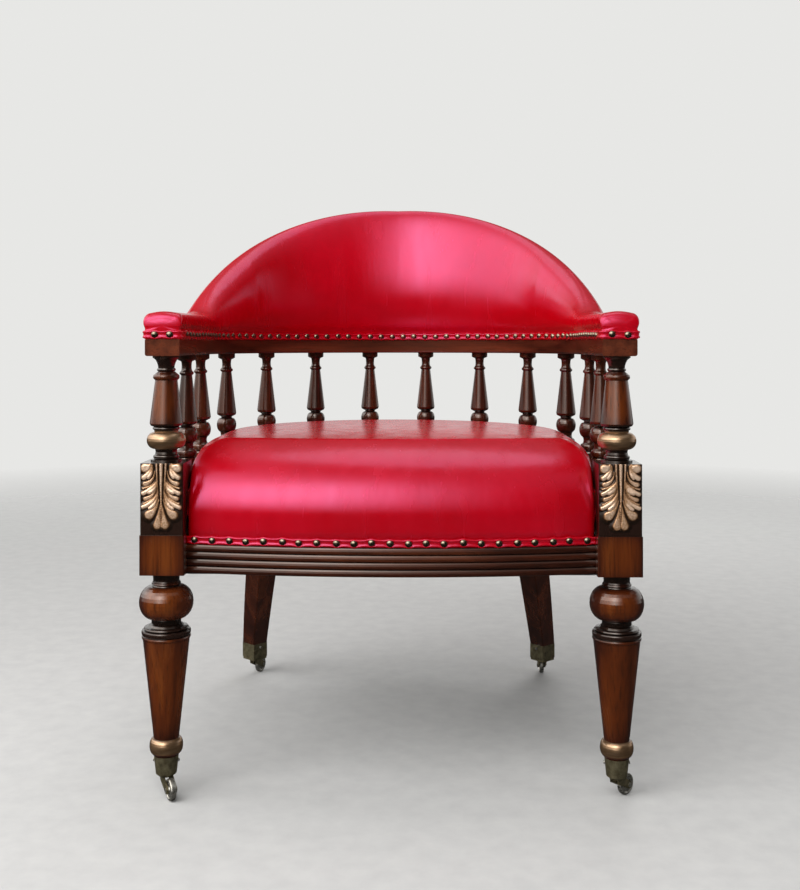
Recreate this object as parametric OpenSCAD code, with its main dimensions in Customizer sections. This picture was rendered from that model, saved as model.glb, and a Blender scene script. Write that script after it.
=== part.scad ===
// Upholstered tub armchair with a spindle gallery, turned front legs and four small castors.
// The front faces -Y, the floor is z = 0, and the origin is under the middle of the chair.

/* [Frame] */
// Distance between the axes of the two front posts
post_span = 592; // [560:1:640]
// Length of each straight arm, from the post's axis to where the back begins to curve
arm_run = 206; // [180:1:250]
// Height of the underside of the seat rails
seat_rail_z = 295; // [280:1:330]
// Height of the seat rails
seat_rail_h = 105; // [96:1:120]
// Width of the gallery rail and of the arm rail
rail_w = 45; // [40:1:50]
// Width of the ledge inside the gallery that carries the webbing
ledge_w = 18; // [14:1:24]
// How far the seat rails lie inside the gallery rail's outer face
rail_inset = 2; // [1:0.5:4]
// Depth of the bowed front rail, front to back
front_rail_d = 36; // [30:1:38]
// How far the front rail's ends lie behind the front face of the blocks
front_set_back = 21; // [19:1:24]
// How far the front rail bows forward at its middle
front_bow = 26.5; // [15:0.5:40]
// Number of reeds along the lower edge of the rails
reed_count = 4; // [3:1:5]
// Height of one reed
reed_h = 9.4; // [7:0.1:10]
// How far a reed swells out
reed_depth = 3; // [1.5:0.1:4]
// Length of the tenons of the rails
rail_tenon = 16; // [12:1:18]
// Thickness of the tenons of the rails
rail_tenon_t = 10; // [8:1:12]

/* [Front posts] */
// Width of the square block
block_w = 58; // [52:1:64]
// Height of the square block
block_h = 145; // [136:1:160]
// Height of the plain lower part of the block
block_foot_h = 52; // [45:1:60]
// How far the carved zone of the block is cut back on each side
block_cut = 1; // [0.5:0.1:2]
// Radius of the ball under the block
ball_r = 35.3; // [32:0.1:38]
// Height of the ball under the block
ball_h = 43; // [38:1:48]
// Radius of the turned disc at the top of the leg
disc_r = 32; // [28:0.1:35]
// Radius of the leg's taper at its top
leg_top_r = 30.5; // [26:0.1:32]
// Radius of the leg's taper at the ankle
ankle_r = 16.7; // [15.5:0.1:19]
// Radius of the gilt ring at the ankle
ankle_ring_r = 21.8; // [20:0.1:24]
// Radius of the gilt ring above the block
arm_ring_r = 25.4; // [23:0.1:28]
// Height of the gilt rings
ring_h = 22; // [18:1:24]
// Radius of the post's vase at its bottom
post_vase_r = 21.6; // [19:0.1:25]
// Radius of the post's vase at its top
post_vase_top_r = 14.6; // [12:0.1:17]
// Radius of the post's tenon in the arm rail
post_tenon_r = 9; // [7:0.5:10]
// Thickness of the carved leaf at its edge
leaf_t = 5; // [3:0.5:8]

/* [Rear legs] */
// Angle round the back at which each rear leg stands, from the end of the arm
leg_angle = 42.5; // [38:0.5:48]
// Width of the leg at its stile
leg_w = 42; // [38:0.5:42]
// Width of the leg at its foot
foot_w = 31.5; // [29.5:0.5:34]
// Sideways reach of the foot beyond the stile
leg_splay = 40; // [20:1:60]
// Backward reach of the foot behind the stile
leg_rake = 133; // [90:1:150]

/* [Gallery and arms] */
// Thickness of the gallery rail
gallery_t = 22; // [18:1:26]
// Height of the spindles between the gallery rail and the arm rail
spindle_h = 157; // [150:1:180]
// Distance between spindles along the middle of the rail
spindle_pitch = 98.6; // [85:0.1:104]
// Radius of the spindle's vase at its bottom
spindle_vase_r = 15.4; // [13:0.1:18]
// Radius of the spindle's vase at its top
spindle_vase_top_r = 7.9; // [7:0.1:10]
// Radius of the spindle's ball
spindle_ball_r = 15.5; // [13:0.1:18]
// Radius of the pin at each end of a spindle
pin_r = 5; // [4:0.5:6]
// Length of the pin at each end of a spindle
pin_h = 10; // [8:1:12]
// Thickness of the arm rail
arm_t = 22; // [20:1:26]
// How far the arm rail reaches in front of the posts' axis
arm_overhang = 25; // [22:1:35]
// Radius of the rounded edges of the arm rail
arm_edge_r = 3; // [1:0.5:5]

/* [Back and arm pad] */
// Height of the pad above the arm rail along the arms
pad_h = 34; // [28:1:40]
// Height of the pad above the arm rail at the middle of the back
crest_h = 228; // [180:1:260]
// Extra fullness of the crest between the arms and the middle
crest_full = 6; // [0:0.5:12]
// Distance from the middle of the rail to each side of the pad
pad_side = 24; // [22:0.5:28]
// How far the pad swells into the seat at the middle of the back
pad_belly = 14; // [6:0.5:22]
// How far the inner face of the back leans outward towards its top
pad_lean = 14; // [6:0.5:16]
// Radius of the pad's rounded top edges along the arms
pad_round = 10; // [6:0.5:14]
// How much larger that radius is round the back
back_round = 6; // [2:0.5:8]
// Rise of the pad's top between its edges along the arms
pad_crown = 2.5; // [1:0.1:4]
// Radius of the corners at the pad's two ends
pad_end_r = 7; // [3:0.5:9]
// How far below the arm's level the slope up the back begins
pad_dip = 12; // [6:1:18]
// Size of the hollow where the arm's level turns into that slope
pad_toe = 16; // [8:1:24]
// Height over which the pad swells out above its bands
tuck_h = 3; // [2:0.5:5]
// Thickness of the board inside the back
former_t = 12; // [8:1:16]
// Height of stuffing over the top of the board
former_cover = 24; // [20:1:32]

/* [Seat] */
// Height of the seat's crown above the webbing
crown_h = 68; // [65:1:95]
// Height of the seat's rim above the webbing
rim_h = 62; // [54:1:64]
// How far the roll of the rim reaches inward along the gallery, and how high it is
roll_w = 34; // [24:1:45]
// How far the large roll at the front reaches back
front_roll_w = 85; // [60:1:95]
// Height of the large roll at the front
front_roll_h = 95; // [70:1:110]
// Thickness of the leather
leather_t = 2.5; // [1.5:0.1:4]
// Thickness of the wadding behind the leather on the front rail
wadding_t = 6; // [4:0.5:9]
// Thickness of one layer of webbing
web_t = 1.5; // [1:0.1:2]
// Width of a webbing strap
web_w = 50; // [40:1:60]
// Distance between webbing straps
web_pitch = 82; // [70:1:100]
// Thickness of the dust cover
dust_t = 1; // [0.5:0.1:2]
// How far the dust cover laps under the rails
dust_lap = 14; // [8:1:20]

/* [Bands and nails] */
// Height of the leather bands
band_h = 12; // [10:0.5:14]
// Thickness of the leather bands
band_t = 1.5; // [1:0.1:2.5]
// Radius of a nail's head
nail_r = 5; // [4:0.1:5.5]
// Height of a nail's dome
nail_h = 3; // [2:0.1:4]
// Number of nails along the front of the seat
seat_nails_n = 23; // [19:1:25]
// Distance between the nails of the back along the middle of the rail
back_nail_pitch = 21; // [20:0.5:30]

/* [Castors] */
// Height of the underside of the castor cups above the floor
cup_z = 29; // [29:0.5:34]
// Height of the round cups
cup_h = 25; // [22:1:30]
// Height of the square cups
square_cup_h = 29; // [24:1:34]
// Outer radius of the round cups at the top
cup_r = 16; // [15.4:0.1:17.5]
// Outer radius of the round cups at the bottom
cup_foot_r = 13.6; // [13:0.1:15]
// Wall of the cups
cup_wall = 1.5; // [1:0.1:2]
// Thickness of the floor of the cups
cup_floor = 3; // [2.5:0.1:4]
// Radius of the wheels
wheel_r = 14; // [12:0.1:14]
// Width of the wheels
wheel_w = 8; // [6:0.5:9]
// Distance from the swivel to the axle
trail = 19.5; // [18.5:0.5:24]
// Radius of the axles
axle_r = 2; // [1.5:0.1:2.5]
// Radius of the swivel stems
stem_r = 3; // [2.5:0.1:3.5]
// Thickness of the fork's cheeks and plate
cheek_t = 2.2; // [1.8:0.1:2.6]
// Radius of the fork's plate
plate_r = 9.5; // [8.5:0.1:10]
// Direction in which the front left castor trails, from +X
castor_fl = -60; // [-180:1:180]
// Direction in which the front right castor trails, from +X
castor_fr = 45; // [-180:1:180]
// Direction in which the rear left castor trails, from +X
castor_rl = 68; // [-180:1:180]
// Direction in which the rear right castor trails, from +X
castor_rr = 90; // [-180:1:180]

/* [Fit] */
// Clearance round a wooden pin, tenon or screw
glue_gap = 0.1; // [0.05:0.01:0.2]
// Radial clearance of a turning stem or wheel
run_gap = 0.05; // [0.02:0.01:0.1]
// Clearance between a soft piece and its neighbour
soft_gap = 0.3; // [0.2:0.05:0.5]
// Clearance between the seat's stuffing and its leather
stuffing_gap = 2.8; // [1.5:0.1:4]
// Play on each side of a wheel in its fork
side_play = 0.6; // [0.3:0.1:1]

/* [Hidden] */
$fn = 64;
bow_fn = 360;

wood = [0.30, 0.11, 0.06];
inner_wood = [0.62, 0.45, 0.28];
gilt = [0.66, 0.49, 0.27];
brass = [0.42, 0.38, 0.25];
steel = [0.45, 0.44, 0.42];
leather = [0.72, 0.03, 0.15];
nail_brass = [0.35, 0.27, 0.17];
canvas = [0.55, 0.45, 0.3];
black_cloth = [0.08, 0.08, 0.08];

// Heights
seat_top_z = seat_rail_z + seat_rail_h;
gallery_z = seat_top_z + gallery_t;
arm_z = gallery_z + spindle_h;
pad_z = arm_z + arm_t;
block_top_z = seat_rail_z + block_h;
reeds_h = reed_count * reed_h;
tenon_z = seat_rail_z + reeds_h;
tenon_h = seat_rail_h - reeds_h - 25;
band_gap = 0.1;
web_z = seat_top_z + 2 * web_t;
roll_end = 78;
roll_blend = 170;
seat_mid_y = arm_run * 0.9;
cup_top_z = cup_z + cup_h;
square_cup_top_z = cup_z + square_cup_h;

// Plan: the arms and the back follow a horseshoe of this radius
back_r = post_span / 2;
half_w = rail_w / 2;
rail_out = half_w - rail_inset;
rail_in = -half_w - ledge_w;
run_length = arm_run + back_r * PI / 2;
post_in = (post_span - block_w) / 2;
front_end_y = front_set_back - block_w / 2;
dust_front = front_end_y - front_bow + front_rail_d - dust_lap;
bow_r = (post_in * post_in + front_bow * front_bow) / (2 * front_bow);
bow_y = front_end_y - front_bow + bow_r;
bow_angle = asin(post_in / bow_r);
leg_spot = [back_r * cos(leg_angle), arm_run + back_r * sin(leg_angle)];
foot_spot = [leg_spot[0] + leg_splay, leg_spot[1] + leg_rake];
stile_out = rail_out - leg_w / 2;

// The chair is placed so that its footprint is centred on the origin
front_reach = front_bow - front_end_y + band_gap + band_t + nail_h;
back_reach = foot_spot[1] + trail + wheel_r;
mid_y = (back_reach - front_reach) / 2;

// Points of a bulge or a hollow between two heights, as [radius, height]
function swell(z0, z1, r0, r1, n = 8) = [for (i = [0 : n])
    let (way = cos(180 * i / n))
    [r0 + (r1 - r0) * sin(180 * i / n), z0 * (1 + way) / 2 + z1 * (1 - way) / 2]];

// Points of a quarter round from one side to another, as [x, z]
function corner(x, z, r, a0, a1, n = 4) = [for (i = [0 : n])
    [x + r * cos(a0 + (a1 - a0) * i / n), z + r * sin(a0 + (a1 - a0) * i / n)]];

// A turned piece from a list of [radius, height] points
module turned(profile)
    rotate_extrude()
        polygon(concat([[0, profile[0][1]]], profile, [[0, profile[len(profile) - 1][1]]]));

// Puts children at the chair's place, with the front posts' axes on y = 0
module stand() translate([0, -mid_y, 0]) children();

// The right side's piece, or its mirror image on the left
module mirrored(side)
    if (side < 0) mirror([1, 0, 0]) children();
    else children();

// The horseshoe

// Where the horseshoe is at a distance along it from the right post, as [x, y, heading]
function shoe(s) =
    let (bend = PI * back_r, turn = (s - arm_run) / back_r * 180 / PI)
    s < arm_run ? [back_r, s, 0]
    : s < arm_run + bend ? [back_r * cos(turn), arm_run + back_r * sin(turn), turn]
    : [-back_r, 2 * arm_run + bend - s, 180];

// A section, drawn as [outward from the rail's middle, height], swept along the straight arm
module along_arm(y0, y1)
    translate([back_r, y1, 0]) rotate([90, 0, 0]) linear_extrude(y1 - y0) children();

// The same section swept round the back between two angles
module round_back(a0, a1)
    translate([0, arm_run, 0]) rotate([0, 0, a0]) rotate_extrude(angle = a1 - a0)
        translate([back_r, 0]) children();

module rail_section(z, t) polygon(concat(
    corner(half_w - arm_edge_r, z + arm_edge_r, arm_edge_r, -90, 0),
    corner(half_w - arm_edge_r / 2, z + t - arm_edge_r / 2, arm_edge_r / 2, 0, 90, 2),
    [[-half_w, z + t]],
    corner(-half_w + arm_edge_r, z + arm_edge_r, arm_edge_r, 180, 270)));

module gallery_section() polygon(concat(
    [[half_w - rail_inset, seat_top_z], [half_w, seat_top_z + rail_inset]],
    corner(half_w - arm_edge_r, gallery_z - arm_edge_r, arm_edge_r, 0, 90),
    [[-half_w, gallery_z], [-half_w, seat_top_z]]));

function reed_points(x) = [for (i = [0 : reed_count - 1]) each
    [for (p = swell(i * reed_h, (i + 1) * reed_h, 0, reed_depth, 6))
        [x + p[0], seat_rail_z + p[1]]]];

module seat_rail_section() polygon(concat(
    reed_points(rail_out),
    [[rail_out, seat_top_z], [rail_in, seat_top_z], [rail_in, seat_rail_z]]));

// Holes for the spindles' pins and the posts' tenons in a rail whose near face is at z
module pin_holes(z, depth) for (i = [1 : 12])
    at_spindle(i) translate([0, 0, z]) cylinder(r = pin_r + glue_gap, h = depth);

function spindle_run(i) = run_length + (i - 6.5) * spindle_pitch;

module at_spindle(i) {
    spot = shoe(spindle_run(i));
    translate([spot[0], spot[1], 0]) children();
}

// Wooden frame

function leg_profile() =
    let (z_block = seat_rail_z, z_ball = z_block - 18, z_ball_low = z_ball - ball_h)
    let (z_disc = z_ball_low - 6, z_taper = z_disc - 17)
    let (z_ring = cup_top_z + 2, z_ankle = z_ring + ring_h - 1)
    concat(
        [[cup_foot_r - cup_wall - glue_gap, cup_z + cup_floor + glue_gap]],
        [[cup_r - cup_wall - glue_gap, cup_top_z], [cup_r + 0.2, cup_top_z], [cup_r + 0.2, z_ring]],
        swell(z_ring, z_ankle, ankle_r, ankle_ring_r, 10),
        [[ankle_r, z_ankle + 2], [leg_top_r, z_taper - 3]],
        swell(z_taper - 3, z_taper + 1.5, leg_top_r, leg_top_r + 1.4, 4),
        swell(z_taper + 2, z_taper + 8.5, leg_top_r + 0.4, disc_r, 6),
        swell(z_taper + 9, z_taper + 12.5, disc_r * 0.85, disc_r * 0.91, 4),
        [[disc_r * 0.72, z_taper + 13], [disc_r * 0.66, z_disc - 1.5]],
        [[disc_r * 0.6, z_disc], [disc_r * 0.6, z_ball_low - 1]],
        swell(z_ball_low, z_ball, 19, ball_r, 14),
        [[18, z_ball]],
        swell(z_ball + 1, z_ball + 5, 17.5, 19, 4),
        [[17, z_ball + 7], [17.5, z_block - 2], [18.5, z_block]]);

function post_profile() =
    let (z0 = block_top_z, z1 = arm_z, r_low = post_vase_r, r_high = post_vase_top_r)
    concat(
        [[20.6, z0]], [[20.2, z0 + 3]],
        swell(z0 + 4, z0 + 9, 15.5, 17, 5),
        swell(z0 + 9, z0 + 17, 15.5, 13.9, 4),
        swell(z0 + 17, z0 + 17 + ring_h, 15.5, arm_ring_r, 12),
        [[15.8, z0 + 41]],
        swell(z0 + 42, z0 + 46, 15.8, 18, 4),
        [[17.5, z0 + 46.5], [r_low - 1.5, z0 + 47.5], [r_low, z0 + 50.5]],
        [[r_high, z1 - 32]],
        [[r_high + 0.7, z1 - 31]],
        swell(z1 - 31, z1 - 24, r_high + 0.4, r_high + 2.7, 6),
        [[r_high - 0.5, z1 - 23]],
        swell(z1 - 20, z1 - 16, r_high - 4, r_high - 2.3, 4),
        [[r_high - 3.8, z1 - 13], [r_high - 2.6, z1 - 9], [r_high - 0.6, z1 - 5]],
        [[r_high + 3.3, z1 - 2], [r_high + 3.3, z1]]);

// Square prism with lightly rounded arrises
module square_prism(w, z0, z1, r) translate([0, 0, z0]) linear_extrude(z1 - z0)
    polygon(concat(
        corner(w / 2 - r, w / 2 - r, r, 0, 90, 3),
        corner(r - w / 2, w / 2 - r, r, 90, 180, 3),
        corner(r - w / 2, r - w / 2, r, 180, 270, 3),
        corner(w / 2 - r, r - w / 2, r, 270, 360, 3)));

// Tenons of the front rail and of a side rail, in a post's own place, grown by a clearance
module front_tenon(gap)
    translate([-block_w / 2 - 1, front_end_y + front_rail_d / 2 - rail_tenon_t / 2 - gap, tenon_z - gap])
        cube([rail_tenon + 1 + gap, rail_tenon_t + 2 * gap, tenon_h + 2 * gap]);

module side_tenon(gap)
    translate([2 - rail_tenon_t / 2 - gap, block_w / 2 - rail_tenon - gap, tenon_z - gap])
        cube([rail_tenon_t + 2 * gap, rail_tenon + 1 + gap, tenon_h + 2 * gap]);

module front_post(side) color(wood) stand() mirrored(side) translate([back_r, 0, 0]) difference() {
    union() {
        turned(leg_profile());
        square_prism(block_w, seat_rail_z, seat_rail_z + block_foot_h, 1.5);
        square_prism(block_w - 2 * block_cut, seat_rail_z, block_top_z, 1.5);
        turned(post_profile());
        translate([0, 0, seat_rail_z]) cylinder(r = post_tenon_r, h = arm_z - seat_rail_z + arm_t - 6);
    }
    front_tenon(glue_gap);
    side_tenon(glue_gap);
    castor_holes(cup_r, cup_h);
}

// Outline of the carved leaf: a stem with three pairs of curled leaflets and two low lobes
module leaf_outline() {
    half = block_w / 2 - block_cut;
    for (side = [-1, 1]) {
        translate([side * half * 0.62, -10]) circle(r = half * 0.36);
        translate([side * half * 0.66, -24]) circle(r = half * 0.33);
        translate([side * half * 0.36, -36]) circle(r = half * 0.3);
        translate([side * half * 0.16, -47]) circle(r = half * 0.17);
    }
    translate([-half * 0.5, -38]) square([half, 36]);
}

module acanthus(side) color(gilt) stand() mirrored(side)
    translate([back_r, block_cut - block_w / 2, block_top_z])
        rotate([90, 0, 0]) linear_extrude(leaf_t) leaf_outline();

module front_seat_rail() color(wood) stand() {
    intersection() {
        translate([0, bow_y, 0]) rotate([0, 0, -90 - bow_angle - 1])
            rotate_extrude(angle = 2 * bow_angle + 2, $fn = bow_fn) polygon(concat(
                reed_points(bow_r),
                [[bow_r - leather_t - wadding_t - soft_gap, seat_rail_z + reeds_h]],
                [[bow_r - leather_t - wadding_t - soft_gap, seat_top_z]],
                [[bow_r - front_rail_d, seat_top_z], [bow_r - front_rail_d, seat_rail_z]]));
        translate([-post_in, -block_w, 0]) cube([2 * post_in, 2 * block_w, seat_top_z + 1]);
    }
    for (side = [-1, 1]) mirrored(side) translate([back_r, 0, 0]) front_tenon(0);
}

// Tenons of the seat rails in a rear leg's stile, at the right leg, grown by a clearance
module stile_tenons(gap) translate([leg_spot[0], leg_spot[1], 0]) rotate([0, 0, leg_angle])
    for (side = [-1, 1])
        translate([stile_out, side * (leg_w / 2 - rail_tenon / 4), tenon_z + tenon_h / 2])
            cube([rail_tenon_t + 2 * gap, rail_tenon + 2 * gap, tenon_h + 2 * gap], center = true);

// Room for the stile between the ends of two rails
module stile_gap() translate([leg_spot[0], leg_spot[1], 0]) rotate([0, 0, leg_angle])
    translate([-back_r / 2, -leg_w / 2 - glue_gap, 0]) cube([back_r, leg_w + 2 * glue_gap, arm_z]);

// The part of a horseshoe piece that lies on one side of the rear leg's middle
module side_of_leg(front) translate([0, arm_run, 0]) rotate([0, 0, leg_angle])
    translate([0, front ? -2 * back_r : 0, 0]) cube([2 * back_r, 2 * back_r, arm_z]);

module side_seat_rail(side) color(wood) stand() mirrored(side) {
    along_arm(block_w / 2, arm_run) seat_rail_section();
    difference() {
        round_back(0, leg_angle) seat_rail_section();
        stile_gap();
    }
    translate([back_r, 0, 0]) side_tenon(0);
    intersection() {
        stile_tenons(0);
        side_of_leg(true);
    }
}

module back_seat_rail() color(wood) stand() {
    difference() {
        round_back(leg_angle, 180 - leg_angle) seat_rail_section();
        for (side = [-1, 1]) mirrored(side) stile_gap();
    }
    for (side = [-1, 1]) mirrored(side) intersection() {
        stile_tenons(0);
        side_of_leg(false);
    }
}

// A ring of the swept leg, square with cut corners, at a share of the way down to the foot
function leg_ring(p) =
    let (w = leg_w + (foot_w - leg_w) * p, c = 1.5, z = seat_rail_z - p * (seat_rail_z - square_cup_top_z))
    let (x = leg_spot[0] + stile_out * cos(leg_angle) * (1 - p) + leg_splay * p)
    let (y = leg_spot[1] + stile_out * sin(leg_angle) * (1 - p) + leg_rake * pow(p, 1.35))
    [for (k = [0 : 3]) each [for (e = [c - w / 2, w / 2 - c])
        let (q = k * 90 + leg_angle)
        [x + w / 2 * cos(q) - e * sin(q), y + w / 2 * sin(q) + e * cos(q), z]]];

// Faces of a tube of rings with n points each, closed at both ends
function tube_faces(rings, n) = concat(
    [[for (i = [0 : n - 1]) i]],
    [for (j = [0 : rings - 2]) each [for (i = [0 : n - 1]) each
        let (a = j * n + i, b = j * n + (i + 1) % n) [[b, a, a + n], [b, a + n, b + n]]]],
    [[for (i = [n - 1 : -1 : 0]) (rings - 1) * n + i]]);

module rear_leg(side) color(wood) stand() mirrored(side) difference() {
    steps = 14;
    union() {
        polyhedron([for (j = [0 : steps]) each leg_ring(1 - j / steps)], tube_faces(steps + 1, 8), 4);
        translate([leg_spot[0] + stile_out * cos(leg_angle), leg_spot[1] + stile_out * sin(leg_angle), 0])
            rotate([0, 0, leg_angle]) square_prism(leg_w, seat_rail_z, seat_top_z, 1.5);
        translate([foot_spot[0], foot_spot[1], 0]) rotate([0, 0, leg_angle])
            square_prism(foot_w - 2 * cup_wall - 2 * glue_gap, cup_z + cup_floor + glue_gap, square_cup_top_z, 1);
    }
    stile_tenons(glue_gap);
    translate([foot_spot[0], foot_spot[1], 0]) rotate([0, 0, leg_angle])
        castor_holes(foot_w / 2, square_cup_h);
}

module corner_blocks() color(inner_wood) stand() for (side = [-1, 1]) mirrored(side) {
    low = seat_rail_z + 12;
    tall = seat_rail_h - 30;
    intersection() {
        translate([0, 0, low]) linear_extrude(tall) polygon([
            [back_r + rail_in - glue_gap, 0], [back_r + rail_in - glue_gap, 95],
            [back_r + rail_in - 18, 95], [back_r + rail_in - 75, 40], [back_r + rail_in - 75, 0]]);
        translate([0, bow_y, 0]) cylinder(r = bow_r - front_rail_d - glue_gap, h = seat_top_z, $fn = 360);
    }
    intersection() {
        translate([0, arm_run, low]) rotate([0, 0, leg_angle]) union() {
            translate([back_r + rail_in - 28, -44, 0]) cube([30, 88, tall]);
            translate([back_r + rail_in - 2, -leg_w / 2 + 0.6, 0])
                cube([stile_out - leg_w / 2 - rail_in + 2 - glue_gap, leg_w - 1.2, tall]);
        }
        union() {
            translate([0, arm_run, 0]) cylinder(r = back_r + rail_in - glue_gap, h = seat_top_z, $fn = 360);
            translate([0, arm_run, low]) rotate([0, 0, leg_angle]) translate([back_r + rail_in - 4, -leg_w / 2 + 0.6, 0])
                cube([60, leg_w - 1.2, tall]);
        }
    }
}

module gallery_rail(side) color(wood) stand() mirrored(side) difference() {
    union() {
        along_arm(block_w / 2, arm_run) gallery_section();
        round_back(0, leg_angle) gallery_section();
    }
    pin_holes(gallery_z - pin_h - 1, pin_h + 2);
}

module gallery_rail_back() color(wood) stand() difference() {
    round_back(leg_angle, 180 - leg_angle) gallery_section();
    pin_holes(gallery_z - pin_h - 1, pin_h + 2);
}

module arm_rail(side) color(wood) stand() mirrored(side) difference() {
    union() {
        along_arm(-arm_overhang, arm_run) rail_section(arm_z, arm_t);
        round_back(0, leg_angle) rail_section(arm_z, arm_t);
    }
    pin_holes(arm_z - 1, pin_h + 2);
    translate([back_r, 0, arm_z - 1]) cylinder(r = post_tenon_r + glue_gap, h = arm_t - 4);
}

module back_rail() color(wood) stand() difference() {
    round_back(leg_angle, 180 - leg_angle) rail_section(arm_z, arm_t);
    pin_holes(arm_z - 1, pin_h + 2);
}

function spindle_profile() =
    let (z0 = gallery_z, z1 = arm_z, r_low = spindle_vase_r, r_high = spindle_vase_top_r)
    concat(
        [[13.5, z0]], [[13.5, z0 + 8]], [[12.6, z0 + 10]],
        swell(z0 + 11, z0 + 22, 11, 14.3, 8),
        swell(z0 + 22, z0 + 32, 11, 9.1, 4),
        swell(z0 + 32, z0 + 54, 9.5, spindle_ball_r, 12),
        [[8.5, z0 + 55], [8.5, z0 + 56]],
        [[r_low - 1, z0 + 59], [r_low, z0 + 62]],
        [[r_high, z1 - 29.5]],
        swell(z1 - 28.5, z1 - 23.5, r_high + 0.3, r_high + 2.2, 6),
        swell(z1 - 23, z1 - 9, r_high + 0.4, r_high - 0.9, 6),
        [[r_high + 3, z1 - 8], [r_high + 5.5, z1 - 6.5], [r_high + 5.5, z1]]);

module spindle(i) color(wood) stand() at_spindle(i) {
    turned(spindle_profile());
    translate([0, 0, gallery_z - pin_h]) cylinder(r = pin_r, h = arm_z - gallery_z + 2 * pin_h);
}

// Back and arm pad

// Height of the pad above the arm rail at a distance along the horseshoe: the arm's level runs
// smoothly into a slope that climbs round the back
function climb(s) =
    let (turn = (s - arm_run) / back_r * 180 / PI, base = pad_h - pad_dip, rise = crest_h - base)
    turn < 0 ? base + (rise + 2 * crest_full) * turn * PI / 180
    : base + rise * sin(turn) + crest_full * sin(2 * turn);
function pad_top(s) =
    let (run = s > run_length ? 2 * run_length - s : s)
    (pad_h + climb(run) + sqrt(pow(pad_h - climb(run), 2) + pad_toe * pad_toe)) / 2;
function pad_fullness(s) =
    let (low = pad_h + pad_toe / 2) max(0, (pad_top(s) - low) / (crest_h - low));

// The pad's section as [outward, height]: straight behind the bands, swelling above them, rounded
// on top, with a slot for the board from the bottom. Round the back its inner face swells low down
// and leans outward above
function pad_section(h, full, inset) =
    let (share = min(1, 4 * full), lean = pad_lean * share, r = pad_round + back_round * share)
    let (side = pad_side - inset, foot = pad_side - soft_gap - inset / 3, belly = pad_belly * full)
    let (top = h - inset, low = band_h + tuck_h, wall = top - r - low)
    let (slot = former_t / 2 + soft_gap, slot_h = former_top(h) + soft_gap)
    concat(
        [[foot, 0], [foot, band_h], [side, low], [side, top - r]],
        [for (a = [30, 60, 90]) [side - r + r * cos(a), top - r + r * sin(a)]],
        [[lean / 2, top + pad_crown * (1 - share)]],
        [for (a = [90, 60, 30]) [lean - side + r - r * cos(a), top - r + r * sin(a)]],
        [for (q = [0.8, 0.5, 0.2])
            [lean * pow(max(0, 2 * q - 1), 2) - side - belly * sin(180 * q), low + wall * q]],
        [[-foot, band_h], [-foot, 0]],
        [[-slot, 0], [-slot, slot_h], [slot, slot_h], [slot, 0]]);
function former_top(h) = max(band_h - 2, h - former_cover);

// Stations of a rounded end of the pad: [distance from the end, inset]
pad_ends = [[0, pad_end_r], [0.35 * pad_end_r, 0.42 * pad_end_r], [1.15 * pad_end_r, 0]];

// Stations along the pad from the right arm's end to the left: [distance, inset]
pad_stations = let (end = soft_gap - arm_overhang, far = 2 * run_length - end, n = 40)
    concat(
        [for (e = pad_ends) [end + e[0], e[1]]],
        [for (i = [0 : 3]) [arm_run * (0.1 + 0.9 * i / 4), 0]],
        [for (i = [0 : n]) [arm_run + PI * back_r * i / n, 0]],
        [for (i = [3 : -1 : 0]) [2 * run_length - arm_run * (0.1 + 0.9 * i / 4), 0]],
        [for (i = [2 : -1 : 0]) [far - pad_ends[i][0], pad_ends[i][1]]]);

// A point [outward, height] of a section at a distance along the horseshoe
function on_shoe(s, p) =
    let (spot = shoe(s))
    [spot[0] + p[0] * cos(spot[2]), spot[1] + p[0] * sin(spot[2]), pad_z + p[1]];

module back_pad() color(leather) stand() {
    sections = [for (t = pad_stations) pad_section(pad_top(t[0]), pad_fullness(t[0]), t[1])];
    n = len(sections[0]);
    points = [for (j = [0 : len(sections) - 1]) each [for (p = sections[j]) on_shoe(pad_stations[j][0], p)]];
    polyhedron(points, pad_faces(len(sections), n), 4);
}

// Faces of the pad: its sides, and its two ends cut into the parts left and right of the slot
function pad_faces(rings, n) =
    let (last = (rings - 1) * n, end = pad_end(n))
    concat(
        [for (j = [0 : rings - 2]) each [for (i = [0 : n - 1]) each
            let (a = j * n + i, b = j * n + (i + 1) % n) [[a, b, a + n], [b, b + n, a + n]]]],
        [for (t = end) [t[2], t[1], t[0]]],
        [for (t = end) [t[0] + last, t[1] + last, t[2] + last]]);
function pad_end(n) = let (crown = 7, right = n - 2, left = n - 3) concat(
    [[right, n - 1, 0]],
    [for (i = [0 : crown - 1]) [right, i, i + 1]],
    [[right, crown, left]],
    [for (i = [crown : n - 6]) [left, i, i + 1]],
    [[left, n - 5, n - 4]]);

module back_former() color(inner_wood) stand() {
    far = 2 * run_length + arm_overhang;
    runs = concat([-arm_overhang + soft_gap], [for (t = pad_stations) if (t[1] == 0) t[0]], [far - soft_gap]);
    points = [for (s = runs) each [for (p = [[1, 0], [1, 1], [-1, 1], [-1, 0]])
        on_shoe(s, [p[0] * former_t / 2, p[1] * former_top(pad_top(s))])]];
    polyhedron(points, tube_faces(len(runs), 4), 4);
}

// Outline of a closed strip of the pad's plan at a distance from the rail's middle
module shoe_outline(side, end) {
    translate([0, arm_run]) difference() {
        circle(r = back_r + side, $fn = 180);
        translate([-2 * back_r, -4 * back_r]) square([4 * back_r, 4 * back_r]);
    }
    translate([-back_r - side, -end]) square([2 * (back_r + side), arm_run + end]);
}
module pad_plan(side, end) difference() {
    shoe_outline(side, end);
    shoe_outline(-side, end + 1);
}

module back_band() color(leather) stand() translate([0, 0, pad_z]) linear_extrude(band_h) difference() {
    pad_plan(pad_side + band_t, arm_overhang + band_t);
    pad_plan(pad_side, arm_overhang);
}

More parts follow.
